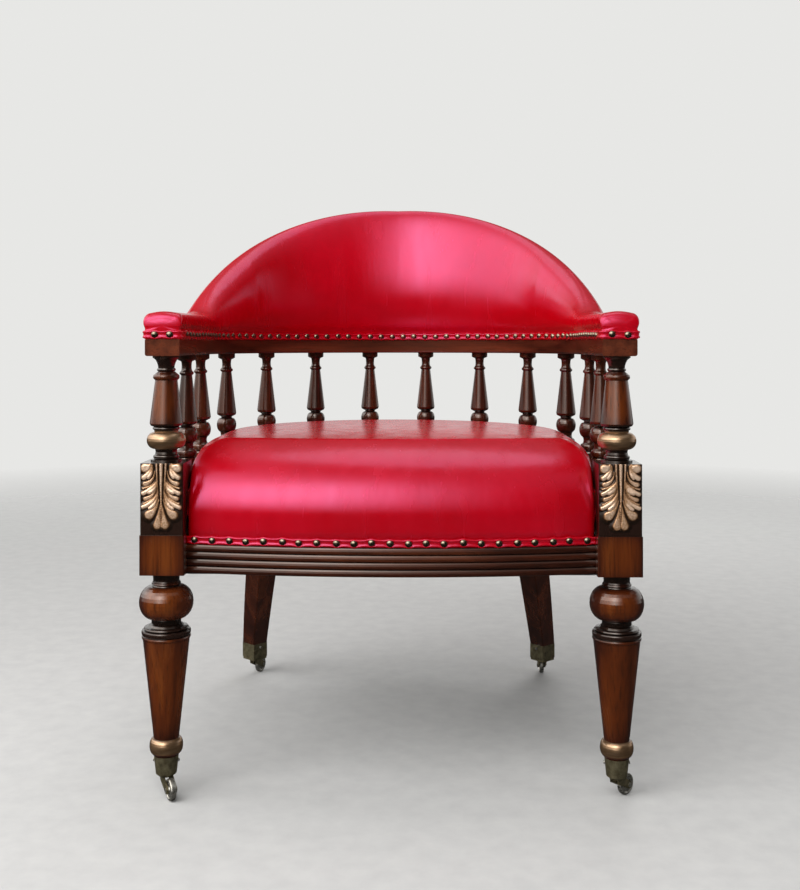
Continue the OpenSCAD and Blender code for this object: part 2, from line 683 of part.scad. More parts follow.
// A domed nail whose flat back lies on z = 0
module nail() rotate_extrude() intersection() {
    dome_r = (nail_r * nail_r + nail_h * nail_h) / (2 * nail_h);
    translate([0, nail_h - dome_r]) circle(r = dome_r, $fn = 64);
    square([nail_r, nail_h]);
}

// Nails on the band, on the inner side or the outer side of the pad
module back_nails(side) {
    count = floor(2 * (run_length - 8) / back_nail_pitch);
    for (i = [0 : count]) {
        spot = shoe(run_length + (i - count / 2) * back_nail_pitch);
        translate([spot[0], spot[1], pad_z + band_h / 2]) rotate([0, 0, spot[2]])
            rotate([0, side * 90, 0]) translate([0, 0, pad_side + band_t + 0.06]) nail();
    }
}
module back_nails_inner() color(nail_brass) stand() back_nails(-1);
module back_nails_outer() color(nail_brass) stand() back_nails(1);

module arm_nails() color(nail_brass) stand() for (x = [-1, 1]) for (e = [-10, 10])
    translate([x * back_r + e, -arm_overhang - band_t, pad_z + band_h / 2]) rotate([90, 0, 0]) nail();

// Seat

// The seat's outline, shrunk by an inset: front bow, sides along the gallery, round back
function seat_outline(inset) =
    let (w = post_in - soft_gap - inset, r = bow_r - inset, a = asin(w / r), n = 12, m = 28)
    let (side = back_r - half_w - soft_gap - inset, hip = max(0, side - w))
    concat(
        [for (i = [0 : n]) let (t = -a + 2 * a * i / n) [r * sin(t), bow_y - r * cos(t), 1]],
        [[w, front_end_y + leather_t + wadding_t, 0], [w, block_w * 0.3, 0]],
        [[w, block_w / 2 + soft_gap + 6, 0], [side, block_w / 2 + soft_gap + 12 + hip, 0]],
        [[side, arm_run * 0.6, 0]],
        [for (i = [0 : m]) let (t = 180 * i / m) [side * cos(t), arm_run + side * sin(t), 0]],
        [[-side, arm_run * 0.6, 0]],
        [[-side, block_w / 2 + soft_gap + 12 + hip, 0], [-w, block_w / 2 + soft_gap + 6, 0]],
        [[-w, block_w * 0.3, 0], [-w, front_end_y + leather_t + wadding_t, 0]]);

// Share of the front in the seat's outline: 1 along the front bow, 0 behind the posts
function front_share(y) =
    let (u = min(1, max(0, (y - front_end_y) / roll_blend))) 1 - u * u * (3 - 2 * u);

// How far a roll has reached inward, as a share of its width, where it still lacks a share of its height
function roll_reach(lack) =
    let (a = asin(sin(roll_end) * max(0, 1 - lack))) (1 - cos(a)) / (1 - cos(roll_end));

// A ring of the seat's surface: q runs up the roll of the rim from 0 to 1, never below the share
// `low` at the front, f shrinks the ring towards the middle, and t is its depth under the leather
function seat_ring(q, f, t, low = 0) = [for (p = seat_outline(t))
    let (share = front_share(p[1]), rise = sin(roll_end * max(q, low * share)) / sin(roll_end))
    let (lack = (roll_w + (front_roll_h - roll_w) * share) * (1 - rise))
    let (kx = roll_w * roll_reach(lack / roll_w) / back_r)
    let (front = front_roll_w * roll_reach(lack / front_roll_h) / max(1, seat_mid_y - p[1]))
    let (ky = kx + share * (front - kx))
    let (h = rim_h + (crown_h - rim_h) * (1 - f * f) - lack - t * rise)
    [p[0] * (1 - kx) * f, seat_mid_y + (p[1] - seat_mid_y) * (1 - ky) * f,
        web_z + (p[2] == 1 ? h : max(4 * (1 + q) * soft_gap, h))]];

function on_webbing(ring) = [for (p = ring) [p[0], p[1], web_z + soft_gap]];

module seat_stuffing() color(inner_wood) stand() {
    gap = leather_t + stuffing_gap;
    low = 0.36;
    rings = [
        on_webbing(seat_ring(0, 1, gap, low)), seat_ring(0, 1, gap, low + 0.03), seat_ring(0.5, 1, gap),
        seat_ring(0.75, 1, gap), seat_ring(1, 1, gap), seat_ring(1, 0.78, gap), seat_ring(1, 0.5, gap)];
    mids = [[0, seat_mid_y, web_z + soft_gap], [0, seat_mid_y, web_z + crown_h - gap]];
    polyhedron(concat([for (r = rings) each r], mids), pile_faces(len(rings), len(rings[0])), 4);
}

// Faces of a pile of rings whose two ends close on a middle point, listed after the rings
function pile_faces(rings, n) = concat(
    fan_faces(0, n, rings * n, true),
    [for (j = [0 : rings - 2]) each [for (i = [0 : n - 1]) each
        let (a = j * n + i, b = j * n + (i + 1) % n) [[b, a, a + n], [b, a + n, b + n]]]],
    fan_faces((rings - 1) * n, n, rings * n + 1, false));
function fan_faces(first, n, mid, below) = [for (i = [0 : n - 1])
    let (a = first + i, b = first + (i + 1) % n) below ? [a, b, mid] : [b, a, mid]];

// The leather's lower rings: at the front they run down the front rail, elsewhere they stop above the webbing
function skirt_ring(inset, drop) = [for (p = seat_outline(inset))
    let (top = web_z + 3 * soft_gap, reach = p[2] == 1 ? top - seat_rail_z - reeds_h : 2 * soft_gap)
    [p[0], p[1], top - drop * reach]];

module seat_cover() color(leather) stand() {
    t = leather_t;
    rolls = [0, 0.25, 0.5, 0.75, 1];
    shrinks = [0.78, 0.5, 0.22];
    outer = concat([skirt_ring(0, 1), skirt_ring(0, 0.5)],
        [for (q = rolls) seat_ring(q, 1, 0)], [for (f = shrinks) seat_ring(1, f, 0)]);
    inner = concat([for (i = [2 : -1 : 0]) seat_ring(1, shrinks[i], t)],
        [for (i = [4 : -1 : 0]) seat_ring(rolls[i], 1, t)], [skirt_ring(t, 0.5), skirt_ring(t, 1)]);
    rings = concat(outer, inner);
    n = len(outer[0]);
    m = len(outer);
    walls = [for (j = [0 : 2 * m - 1]) if (j != m - 1) each [for (i = [0 : n - 1]) each
        let (a = j * n + i, b = j * n + (i + 1) % n)
        let (c = j == 2 * m - 1 ? i : a + n, d = j == 2 * m - 1 ? (i + 1) % n : b + n)
        [[b, a, c], [b, c, d]]]];
    caps = concat(fan_faces((m - 1) * n, n, 2 * m * n, false), fan_faces(m * n, n, 2 * m * n + 1, true));
    mids = [[0, seat_mid_y, web_z + crown_h], [0, seat_mid_y, web_z + crown_h - t]];
    polyhedron(concat([for (r = rings) each r], mids), concat(walls, caps), 4);
}

module seat_band() color(leather) stand() intersection() {
    translate([0, bow_y, seat_rail_z + reeds_h]) rotate([0, 0, -90 - bow_angle - 1])
        rotate_extrude(angle = 2 * bow_angle + 2, $fn = bow_fn)
            translate([bow_r + band_gap, 0]) square([band_t, band_h]);
    translate([-post_in, -block_w * 2, 0]) cube([2 * post_in, 2 * block_w, seat_top_z]);
}

module seat_nails() color(nail_brass) stand() for (i = [0 : seat_nails_n - 1]) {
    turn = (i - (seat_nails_n - 1) / 2) * (2 * bow_angle / seat_nails_n);
    translate([0, bow_y, seat_rail_z + reeds_h + band_h / 2]) rotate([0, 0, turn])
        rotate([90, 0, 0]) translate([0, 0, bow_r + band_gap + band_t]) nail();
}

module seat_webbing() color(canvas) stand() {
    reach = 3;
    translate([0, 0, seat_top_z]) linear_extrude(web_t) intersection() {
        webbing_plan(reach);
        for (i = [-2 : 2]) translate([i * web_pitch - web_w / 2, -block_w]) square([web_w, 3 * back_r]);
    }
    translate([0, 0, seat_top_z + web_t]) linear_extrude(web_t) intersection() {
        webbing_plan(reach);
        for (i = [0 : 4]) translate([-back_r, 50 + i * web_pitch - web_w / 2]) square([2 * back_r, web_w]);
    }
}
module webbing_plan(reach) {
    translate([0, arm_run]) difference() {
        circle(r = back_r - half_w - reach, $fn = 180);
        translate([-2 * back_r, -4 * back_r]) square([4 * back_r, 4 * back_r]);
    }
    translate([-back_r + half_w + reach, block_w / 2 + reach])
        square([2 * (back_r - half_w - reach), arm_run - block_w / 2 - reach]);
    translate([-post_in + 2, 6]) square([2 * post_in - 4, block_w]);
}

module dust_cover() color(black_cloth) stand() translate([0, 0, seat_rail_z - dust_t - 0.1])
    linear_extrude(dust_t) difference() {
        union() {
            intersection() {
                translate([0, arm_run]) circle(r = back_r + rail_in + dust_lap, $fn = 180);
                translate([-back_r, arm_run]) square([2 * back_r, back_r]);
            }
            translate([-back_r - rail_in - dust_lap, dust_front])
                square([2 * (back_r + rail_in + dust_lap), arm_run - dust_front]);
        }
        for (side = [-1, 1]) mirrored(side) translate(leg_spot) circle(r = leg_w * 0.75);
    }

// Castors

// Holes in a leg for the castor's stem and for two screws, on the foot's own axis
module castor_holes(r, h) {
    translate([0, 0, cup_z]) cylinder(r = stem_r + 3, h = 16);
    for (side = [-1, 1]) translate([side * (r - 12), 0, cup_z + h - 7]) rotate([0, side * 90, 0])
        cylinder(r = 1.5 + glue_gap, h = 20);
}

module at_foot(x, y) mirrored(x) translate(y < 0 ? [back_r, 0, 0] : [foot_spot[0], foot_spot[1], 0])
    rotate([0, 0, y < 0 ? 0 : leg_angle]) children();

module cup_holes(r, h) {
    translate([0, 0, cup_z - 1]) cylinder(r = stem_r + run_gap, h = cup_floor + 2);
    for (side = [-1, 1]) translate([side * (r - 12), 0, cup_z + h - 7]) rotate([0, side * 90, 0])
        cylinder(r = 1.5 + glue_gap, h = 20);
}

module round_cup(x) color(brass) stand() at_foot(x, -1) difference() {
    turned([[cup_foot_r - 1, cup_z], [cup_foot_r, cup_z + 1], [cup_r, cup_top_z - 1.5],
        [cup_r, cup_top_z - 0.3], [cup_r - 0.3, cup_top_z - 0.1]]);
    turned([[cup_foot_r - cup_wall, cup_z + cup_floor], [cup_r - cup_wall, cup_top_z + 0.01]]);
    cup_holes(cup_r, cup_h);
}

module square_cup(x) color(brass) stand() at_foot(x, 1) difference() {
    union() {
        square_prism(foot_w, cup_z + 4, square_cup_top_z - 0.1, 1.2);
        square_prism(foot_w - 1.5, cup_z, cup_z + 4, 1.2);
    }
    square_prism(foot_w - 2 * cup_wall, cup_z + cup_floor, square_cup_top_z + 1, 1);
    cup_holes(foot_w / 2, square_cup_h);
}

module castor_horn(x, y, dir) color(brass) stand() at_swivel(x, y, dir) {
    top = cup_z - 0.5;
    gap = wheel_w / 2 + side_play;
    translate([0, 0, top - cheek_t]) cylinder(r = plate_r, h = cheek_t);
    translate([0, 0, top]) cylinder(r = stem_r + 2, h = 0.2);
    translate([0, 0, top]) cylinder(r = stem_r, h = cup_floor + 2.8);
    translate([0, 0, cup_z + cup_floor + 0.3]) cylinder(r = stem_r + 1.5, h = 2);
    difference() {
        for (side = [-1, 1]) translate([0, side * (gap + cheek_t / 2) + cheek_t / 2, 0]) rotate([90, 0, 0])
            linear_extrude(cheek_t) {
                translate([trail, wheel_r]) circle(r = 5);
                polygon([[-6, top - cheek_t / 2], [8, top - cheek_t / 2], [trail + 4, wheel_r + 3],
                    [trail + 1, wheel_r - 4.9], [trail - 4, wheel_r - 3.5], [-5, top - 8]]);
            }
        translate([trail, 0, wheel_r]) rotate([90, 0, 0])
            cylinder(r = axle_r + 0.02, h = 4 * wheel_w, center = true);
    }
}

// A castor's own place: the swivel's axis, turned so that the castor trails along its +X
module at_swivel(x, y, dir) {
    spot = y < 0 ? [back_r, 0] : foot_spot;
    translate([x * spot[0], spot[1], 0]) rotate([0, 0, dir]) children();
}

module castor_axle(x, y, dir) color(steel) stand() at_swivel(x, y, dir)
    translate([trail, 0, wheel_r]) rotate([90, 0, 0]) {
        half = wheel_w / 2 + side_play + cheek_t;
        cylinder(r = axle_r, h = 2 * half + 1, center = true);
        for (side = [-1, 1]) translate([0, 0, side * (half + 0.5)]) cylinder(r = axle_r + 1, h = 0.9, center = true);
    }

module castor_wheel(x, y, dir) color(steel) stand() at_swivel(x, y, dir)
    translate([trail, 0, wheel_r]) rotate([90, 0, 0]) rotate_extrude() polygon([
        [axle_r + run_gap, -wheel_w / 2], [axle_r + 2.5, -wheel_w / 2], [axle_r + 3, -wheel_w / 2 + 1.2],
        [wheel_r - 4, -wheel_w / 2 + 1.2], [wheel_r - 3, -wheel_w / 2 + 0.3], [wheel_r - 1, -wheel_w / 2 + 0.5],
        [wheel_r - 0.2, -wheel_w / 2 + 1.5], [wheel_r, -wheel_w / 2 + 2.5], [wheel_r, wheel_w / 2 - 2.5],
        [wheel_r - 0.2, wheel_w / 2 - 1.5], [wheel_r - 1, wheel_w / 2 - 0.5], [wheel_r - 3, wheel_w / 2 - 0.3],
        [wheel_r - 4, wheel_w / 2 - 1.2], [axle_r + 3, wheel_w / 2 - 1.2], [axle_r + 2.5, wheel_w / 2],
        [axle_r + run_gap, wheel_w / 2]]);

module cup_screws(r, h) for (side = [-1, 1])
    translate([side * (r - 8), 0, cup_z + h - 7]) rotate([0, side * 90, 0]) {
        cylinder(r = 1.5, h = 8.6);
        translate([0, 0, 8.3]) cylinder(r1 = 2.6, r2 = 2, h = 1);
    }

module castor_screws() color(steel) stand() for (x = [-1, 1]) {
    at_foot(x, -1) cup_screws(cup_r, cup_h);
    at_foot(x, 1) cup_screws(foot_w / 2, square_cup_h);
}

front_post(-1);  // front_post_left
front_post(1);  // front_post_right
acanthus(-1);  // acanthus_left
acanthus(1);  // acanthus_right
arm_rail(-1);  // arm_rail_left
arm_rail(1);  // arm_rail_right
back_rail();
gallery_rail(-1);  // gallery_rail_left
gallery_rail(1);  // gallery_rail_right
gallery_rail_back();
spindle(1);  // spindle_01
spindle(2);  // spindle_02
spindle(3);  // spindle_03
spindle(4);  // spindle_04
spindle(5);  // spindle_05
spindle(6);  // spindle_06
spindle(7);  // spindle_07
spindle(8);  // spindle_08
spindle(9);  // spindle_09
spindle(10);  // spindle_10
spindle(11);  // spindle_11
spindle(12);  // spindle_12
front_seat_rail();
side_seat_rail(-1);  // side_seat_rail_left
side_seat_rail(1);  // side_seat_rail_right
back_seat_rail();
rear_leg(-1);  // rear_leg_left
rear_leg(1);  // rear_leg_right
corner_blocks();
back_former();
seat_webbing();
seat_stuffing();
seat_cover();
seat_band();
seat_nails();
dust_cover();
back_pad();
back_band();
back_nails_inner();
back_nails_outer();
arm_nails();
round_cup(-1);  // castor_cup_fl
round_cup(1);  // castor_cup_fr
square_cup(-1);  // castor_cup_rl
square_cup(1);  // castor_cup_rr
castor_horn(-1, -1, castor_fl);  // castor_horn_fl
castor_horn(1, -1, castor_fr);  // castor_horn_fr
castor_horn(-1, 1, castor_rl);  // castor_horn_rl
castor_horn(1, 1, castor_rr);  // castor_horn_rr
castor_axle(-1, -1, castor_fl);  // castor_axle_fl
castor_axle(1, -1, castor_fr);  // castor_axle_fr
castor_axle(-1, 1, castor_rl);  // castor_axle_rl
castor_axle(1, 1, castor_rr);  // castor_axle_rr
castor_wheel(-1, -1, castor_fl);  // castor_wheel_fl
castor_wheel(1, -1, castor_fr);  // castor_wheel_fr
castor_wheel(-1, 1, castor_rl);  // castor_wheel_rl
castor_wheel(1, 1, castor_rr);  // castor_wheel_rr
castor_screws();
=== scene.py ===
import math

import bmesh
import bpy
import numpy as np
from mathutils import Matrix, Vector


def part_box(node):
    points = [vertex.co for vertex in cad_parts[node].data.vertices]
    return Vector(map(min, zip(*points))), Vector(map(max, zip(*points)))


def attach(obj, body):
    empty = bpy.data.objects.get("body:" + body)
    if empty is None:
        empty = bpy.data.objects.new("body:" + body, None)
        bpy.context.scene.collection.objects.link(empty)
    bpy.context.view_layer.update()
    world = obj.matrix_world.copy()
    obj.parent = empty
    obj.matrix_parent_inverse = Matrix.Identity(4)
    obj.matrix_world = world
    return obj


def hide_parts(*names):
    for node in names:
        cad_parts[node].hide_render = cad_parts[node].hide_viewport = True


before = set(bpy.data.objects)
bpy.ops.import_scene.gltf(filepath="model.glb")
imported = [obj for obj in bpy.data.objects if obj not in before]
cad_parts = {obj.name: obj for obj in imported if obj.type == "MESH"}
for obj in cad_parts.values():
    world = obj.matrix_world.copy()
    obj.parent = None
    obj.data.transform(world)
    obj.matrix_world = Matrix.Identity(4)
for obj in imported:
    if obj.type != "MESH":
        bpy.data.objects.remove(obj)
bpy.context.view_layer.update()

# Camera

# The camera stands in front of the chair, level, a little to the right of its middle
CAMERA_AT = (0.037, -1.735, 0.596)
CAMERA_TURN = math.radians(0.97)
CAMERA_LENS = 45.2
CAMERA_SHIFT_Y = -0.1146


def make_camera():
    data = bpy.data.cameras.new("camera")
    data.lens = CAMERA_LENS
    data.sensor_width = 36
    data.shift_y = CAMERA_SHIFT_Y
    data.clip_start = 0.05
    camera = bpy.data.objects.new("camera", data)
    camera.location = CAMERA_AT
    camera.rotation_euler = (math.radians(90), 0, CAMERA_TURN)
    bpy.context.scene.collection.objects.link(camera)
    bpy.context.scene.camera = camera


make_camera()

# The chair's plan, in millimetres, with the front posts' axes on y = 0

MM = 0.001
BACK_R = 296.0  # radius of the round back, on the arm rail's middle line
ARM_RUN = 206.0  # straight run of an arm, from the post's axis to the round
RUN = ARM_RUN + BACK_R * math.pi / 2  # from a post, along the horseshoe, to the middle of the back
ARM_END = 25.0  # how far the arms reach in front of the posts' axes
RAIL_HALF = 22.5  # half the width of the seat rails
FIT = 0.3  # clearance between the upholstery and the wood
PAD_Z = 601.0  # top of the arm rail, where the pad stands
PAD_H = 34.0  # height of the pad on the arms
CREST_H = 228.0  # its height at the middle of the back
PAD_SIDE = 24.0  # half its width at the foot
BAND_Z = PAD_Z + 6.0  # middle of the band and the nails at its foot
POST_IN = 267.0  # inner faces of the posts' blocks
BOW = 26.5  # how far the front rail bows forward
FRONT_END_Y = -8.0  # the front rail's face beside the posts
BOW_R = (POST_IN ** 2 + BOW ** 2) / (2 * BOW)
BOW_Y = FRONT_END_Y - BOW + BOW_R
LEAF_FACE_Y = -28.0  # the face of a post's block that carries the leaf
SEAT_BAND_Z = 338.6  # middle of the band along the front rail
WEB_Z = 403.0  # top of the webbing
MID_Y = -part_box("arm_rail_right")[0][1] / MM - ARM_END  # middle of the chair's outline, y = 0 in the frame

rng = np.random.default_rng(11)


def ease(u):
    u = np.clip(u, 0.0, 1.0)
    return u * u * (3 - 2 * u)


def shoe(s):
    """Where the horseshoe is at a distance along it from the right post: x, y and heading."""
    s = np.asarray(s, float)
    turn = np.clip((s - ARM_RUN) / BACK_R, 0, math.pi)
    x = BACK_R * np.cos(turn)
    y = ARM_RUN + BACK_R * np.sin(turn)
    y = np.where(s < ARM_RUN, s, y)
    y = np.where(s > 2 * RUN - ARM_RUN, 2 * RUN - s, y)
    return x, y, turn


# Mesh helpers

def place(points):
    """From the plan's millimetres to the frame's metres."""
    p = np.asarray(points, float).reshape(-1, 3)
    return np.column_stack((p[:, 0], p[:, 1] - MID_Y, p[:, 2])) * MM


def grid_faces(rows, cols, round_cols=False, round_rows=False, start=0):
    """Quads between the points of a grid, closed round its columns or rows where that is asked."""
    faces = []
    for j in range(rows if round_rows else rows - 1):
        k = (j + 1) % rows
        for i in range(cols if round_cols else cols - 1):
            n = (i + 1) % cols
            faces.append(tuple(start + v for v in (j * cols + i, j * cols + n, k * cols + n, k * cols + i)))
    return faces


def fan(first, count, middle):
    """Triangles between a ring of points and its middle."""
    return [(first + i, first + (i + 1) % count, middle) for i in range(count)]


def add_piece(name, mesh, material, node):
    """Puts a mesh in the scene as a smooth piece of the chair, in place of one node of the CAD model."""
    mesh.polygons.foreach_set("use_smooth", [True] * len(mesh.polygons))
    mesh.materials.append(material)
    obj = bpy.data.objects.new(name, mesh)
    bpy.context.scene.collection.objects.link(obj)
    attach(obj, "chair")
    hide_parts(node)
    return obj


def piece(name, points, faces, material, node):
    """A piece from its points in the plan's millimetres and its faces, with coincident points joined."""
    mesh = bpy.data.meshes.new(name)
    mesh.from_pydata([tuple(p) for p in place(points)], [], faces)
    form = bmesh.new()
    form.from_mesh(mesh)
    bmesh.ops.remove_doubles(form, verts=form.verts, dist=1e-7)
    bmesh.ops.recalc_face_normals(form, faces=form.faces)
    form.to_mesh(mesh)
    form.free()
    return add_piece(name, mesh, material, node)


def thicken(obj, thickness):
    """Gives a hide or a cloth its thickness, in millimetres inward, as part of its mesh."""
    shell = obj.modifiers.new("thickness", "SOLIDIFY")
    shell.thickness = thickness * MM
    shell.offset = -1
    graph = bpy.context.evaluated_depsgraph_get()
    mesh = bpy.data.meshes.new_from_object(obj.evaluated_get(graph))
    old = obj.data
    obj.modifiers.clear()
    obj.data = mesh
    bpy.data.meshes.remove(old)


# Materials

class Shade:
    """A material, or a world, under construction: short calls that add a node and return its output."""

    def __init__(self, name, world=None):
        self.material = world or bpy.data.materials.new(name)
        self.material.use_nodes = True
        self.nodes = self.material.node_tree.nodes
        self.links = self.material.node_tree.links
        self.shader = self.nodes.get("Principled BSDF")
        self.coords = self.nodes.new("ShaderNodeTexCoord").outputs["Generated" if world else "Object"]

    def put(self, value, socket):
        """Links a node's output to a socket, or sets the socket to a number or colour."""
        if isinstance(value, bpy.types.NodeSocket):
            self.links.new(value, socket)
        elif isinstance(value, tuple) and len(value) == 3 and socket.type == "RGBA":
            socket.default_value = (*value, 1)
        else:
            socket.default_value = value

    def set(self, **values):
        """Sets inputs of the shader by their names, written as in base_color."""
        for key, value in values.items():
            self.put(value, self.shader.inputs[key.replace("_", " ").title().replace("Ior", "IOR")])

    def math(self, operation, a, b=0.0, clamp=False):
        node = self.nodes.new("ShaderNodeMath")
        node.operation = operation
        node.use_clamp = clamp
        for i, value in enumerate((a, b)):
            self.put(value, node.inputs[i])
        return node.outputs[0]

    def product(self, first, *rest):
        """Multiplies any number of values."""
        for value in rest:
            first = self.math("MULTIPLY", first, value)
        return first

    def hypot(self, x, y):
        return self.math("SQRT", self.math("ADD", self.product(x, x), self.product(y, y)))

    def stretch(self, scale, vector=None):
        """Coordinates scaled by another factor along each axis."""
        node = self.nodes.new("ShaderNodeVectorMath")
        node.operation = "MULTIPLY"
        self.put(vector or self.coords, node.inputs[0])
        node.inputs[1].default_value = scale
        return node.outputs[0]

    def noise(self, vector, scale=1.0, detail=4.0, roughness=0.55, distortion=0.0):
        node = self.nodes.new("ShaderNodeTexNoise")
        self.put(vector, node.inputs["Vector"])
        node.inputs["Scale"].default_value = scale
        node.inputs["Detail"].default_value = detail
        node.inputs["Roughness"].default_value = roughness
        node.inputs["Distortion"].default_value = distortion
        return node.outputs["Fac"]

    def ramp(self, value, *stops):
        node = self.nodes.new("ShaderNodeValToRGB")
        while len(node.color_ramp.elements) < len(stops):
            node.color_ramp.elements.new(0.5)
        for element, (at, color) in zip(node.color_ramp.elements, stops):
            element.position = at
            element.color = (*color, 1)
        self.put(value, node.inputs["Fac"])
        return node.outputs["Color"]

    def span(self, value, low, high, to_low=0.0, to_high=1.0):
        """A clamped ramp: to_low where the value is low, to_high where it is high."""
        node = self.nodes.new("ShaderNodeMapRange")
        for i, entry in enumerate((value, low, high, to_low, to_high)):
            self.put(entry, node.inputs[i])
        return node.outputs[0]

    def between(self, value, rise, fall):
        """1 inside a range. Each of its ends is a pair: the value where 0 is reached, and where 1 is."""
        return self.product(self.span(value, *rise), self.span(value, *fall))

    def mix(self, factor, a, b):
        """Colour a where the factor is 0, b where it is 1."""
        node = self.nodes.new("ShaderNodeMix")
        node.data_type = "RGBA"
        self.put(factor, node.inputs["Factor"])
        self.put(a, node.inputs[6])
        self.put(b, node.inputs[7])
        return node.outputs[2]

    def split(self):
        node = self.nodes.new("ShaderNodeSeparateXYZ")
        self.put(self.coords, node.inputs[0])
        return node.outputs[0], node.outputs[1], node.outputs[2]

    def join(self, x, y, z):
        node = self.nodes.new("ShaderNodeCombineXYZ")
        for i, value in enumerate((x, y, z)):
            self.put(value, node.inputs[i])
        return node.outputs[0]

    def hollow(self, distance):
        """1 on open surfaces, towards 0 in recesses."""
        node = self.nodes.new("ShaderNodeAmbientOcclusion")
        node.samples = 8
        node.only_local = True
        node.inputs["Distance"].default_value = distance
        return node.outputs["AO"]

    def bump(self, height, distance, strength, under=None):
        node = self.nodes.new("ShaderNodeBump")
        node.inputs["Strength"].default_value = strength
        node.inputs["Distance"].default_value = distance
        self.put(height, node.inputs["Height"])
        if under is not None:
            self.links.new(under, node.inputs["Normal"])
        self.links.new(node.outputs["Normal"], self.shader.inputs["Normal"])
        return node.outputs["Normal"]


def leather_material():
    """Crimson hide: a cloudy dye, with painted shade in its creases, and a shine that its tension streaks
    upward.
    """
    s = Shade("crimson_leather")
    dye, rich = (0.43, 0.0, 0.0030), (0.50, 0.0, 0.0065)
    aged, crease_shade = (0.35, 0.0, 0.0030), (0.10, 0.0, 0.004)
    tone = s.mix(s.span(s.noise(s.coords, 7.0, 3.0), 0.35, 0.65), dye, rich)
    tone = s.mix(s.span(s.noise(s.coords, 60.0, 3.0), 0.3, 0.8, 0.0, 0.3), tone, aged)
    # painted shade: the hide darkens in its creases and recesses
    tone = s.mix(s.span(s.hollow(0.005), 0.3, 0.9, 0.8, 0.0), tone, crease_shade)
    pull = s.noise(s.stretch((48.0, 48.0, 6.0)), 1.0, 3.0)
    s.set(base_color=tone, roughness=s.span(pull, 0.3, 0.7, 0.20, 0.29), specular_ior_level=1.0,
          specular_tint=(1.0, 0.35, 0.72))
    pores = s.noise(s.coords, 380.0, 2.0)
    s.bump(pores, 0.00003, 0.25, s.bump(pull, 0.0010, 0.32))
    return s.material


# The wood's tones along its figure, as (place on the ramp, colour): everywhere, and in the lighter warm
# middles, partly a rubbed finish and partly painted light (see mahogany)
STAIN = ((0.30, (0.016, 0.003, 0.0015)), (0.5, (0.046, 0.009, 0.0035)), (0.70, (0.10, 0.022, 0.007)))
WARM_LIT_STAIN = ((0.30, (0.048, 0.009, 0.002)), (0.5, (0.108, 0.021, 0.003)), (0.70, (0.175, 0.043, 0.007)))
GOLD = ((0.3, (0.27, 0.155, 0.075)), (0.7, (0.43, 0.265, 0.15)))
RUBBED = (0.26, 0.062, 0.03)
BLACK_STAIN = (0.016, 0.007, 0.005)
PORE = (0.012, 0.004, 0.002)
# painted shade for the wood's recesses and coves (see mahogany)
RECESS_SHADE = (0.006, 0.003, 0.002)
GOLD_EDGE = 0.0012


def mahogany(name, grain, glow=0.0, gilt=(), pale=(), black=()):
    """Polished mahogany. grain says which way its fibres run, and glow how far its figure is rubbed to a
    warm brown. gilt and black list the gilded and the black heights as (low, high) in metres. pale lists the
    heights given a warm middle, partly a rubbed finish and partly painted light, each with the half width in
    mm, from a post's axis, over which it fades to painted shade at its sides, as it does towards the height's
    ends."""
    s = Shade(name)
    x, y, z = s.split()
    if grain == "round":
        round_y = (ARM_RUN - MID_Y) * MM
        behind = s.math("MAXIMUM", s.math("SUBTRACT", y, round_y), 0.0)
        turn = s.math("ARCTAN2", behind, s.math("ABSOLUTE", x))
        along = s.math("ADD", s.product(turn, BACK_R * MM), s.math("MINIMUM", y, round_y))
        fibre = s.join(s.hypot(x, behind), z, along)
    elif grain == "across":
        fibre = s.join(z, y, x)
    else:
        fibre = s.coords
    figure = s.noise(s.stretch((38.0, 38.0, 3.0), fibre), 1.0, 5.0, 0.6, 0.5)
    pores = s.noise(s.stretch((460.0, 460.0, 15.0), fibre), 1.0, 2.0, 0.5)
    tone = s.ramp(figure, *STAIN)
    if glow:
        tone = s.mix(s.span(figure, 0.3, 0.7, 0.0, glow), tone, RUBBED)
    if pale:
        warm = s.ramp(figure, *WARM_LIT_STAIN)
    # painted light and shade: each length is lighter and warmer in its middle, and darker towards its ends
    # and towards its left and right sides as seen from the front
    for low, high, reach in pale:
        up = s.product(s.math("SUBTRACT", z, (low + high) / 2), 2 / (high - low))
        side = s.product(s.math("SUBTRACT", s.math("ABSOLUTE", x), BACK_R * MM), 1 / (reach * MM))
        fade = s.math("ADD", s.math("POWER", s.math("ABSOLUTE", up), 3.0),
                      s.math("POWER", s.math("ABSOLUTE", side), 4.0))
        tone = s.mix(s.math("SUBTRACT", 1.0, fade, clamp=True), tone, warm)
    for low, high in black:
        tone = s.mix(s.between(z, (low - MM, low), (high + MM, high)), tone, BLACK_STAIN)
    tone = s.mix(s.span(pores, 0.52, 0.72, 0.0, 0.6), tone, PORE)
    # painted shade: the wood darkens in its recesses and coves
    tone = s.mix(s.span(s.hollow(0.014), 0.5, 0.99, 0.97, 0.0), tone, RECESS_SHADE)
    rough, metallic = s.span(figure, 0.3, 0.7, 0.32, 0.25), 0.0
    if gilt:
        gold = s.ramp(s.noise(s.stretch((60.0, 60.0, 260.0)), 1.0, 3.0), *GOLD)
    for low, high in gilt:
        inside = s.between(z, (low - GOLD_EDGE, low + GOLD_EDGE), (high + GOLD_EDGE, high - GOLD_EDGE))
        tone = s.mix(inside, tone, gold)
        rough = s.mix(inside, rough, (0.33, 0.33, 0.33))
        metallic = s.math("MAXIMUM", metallic, s.product(inside, 0.85))
    s.set(base_color=tone, roughness=rough, metallic=metallic, specular_ior_level=0.35,
          specular_tint=(1.0, 0.7, 0.5), coat_weight=0.85, coat_roughness=0.08)
    s.bump(pores, 0.00008, 0.2)
    return s.material


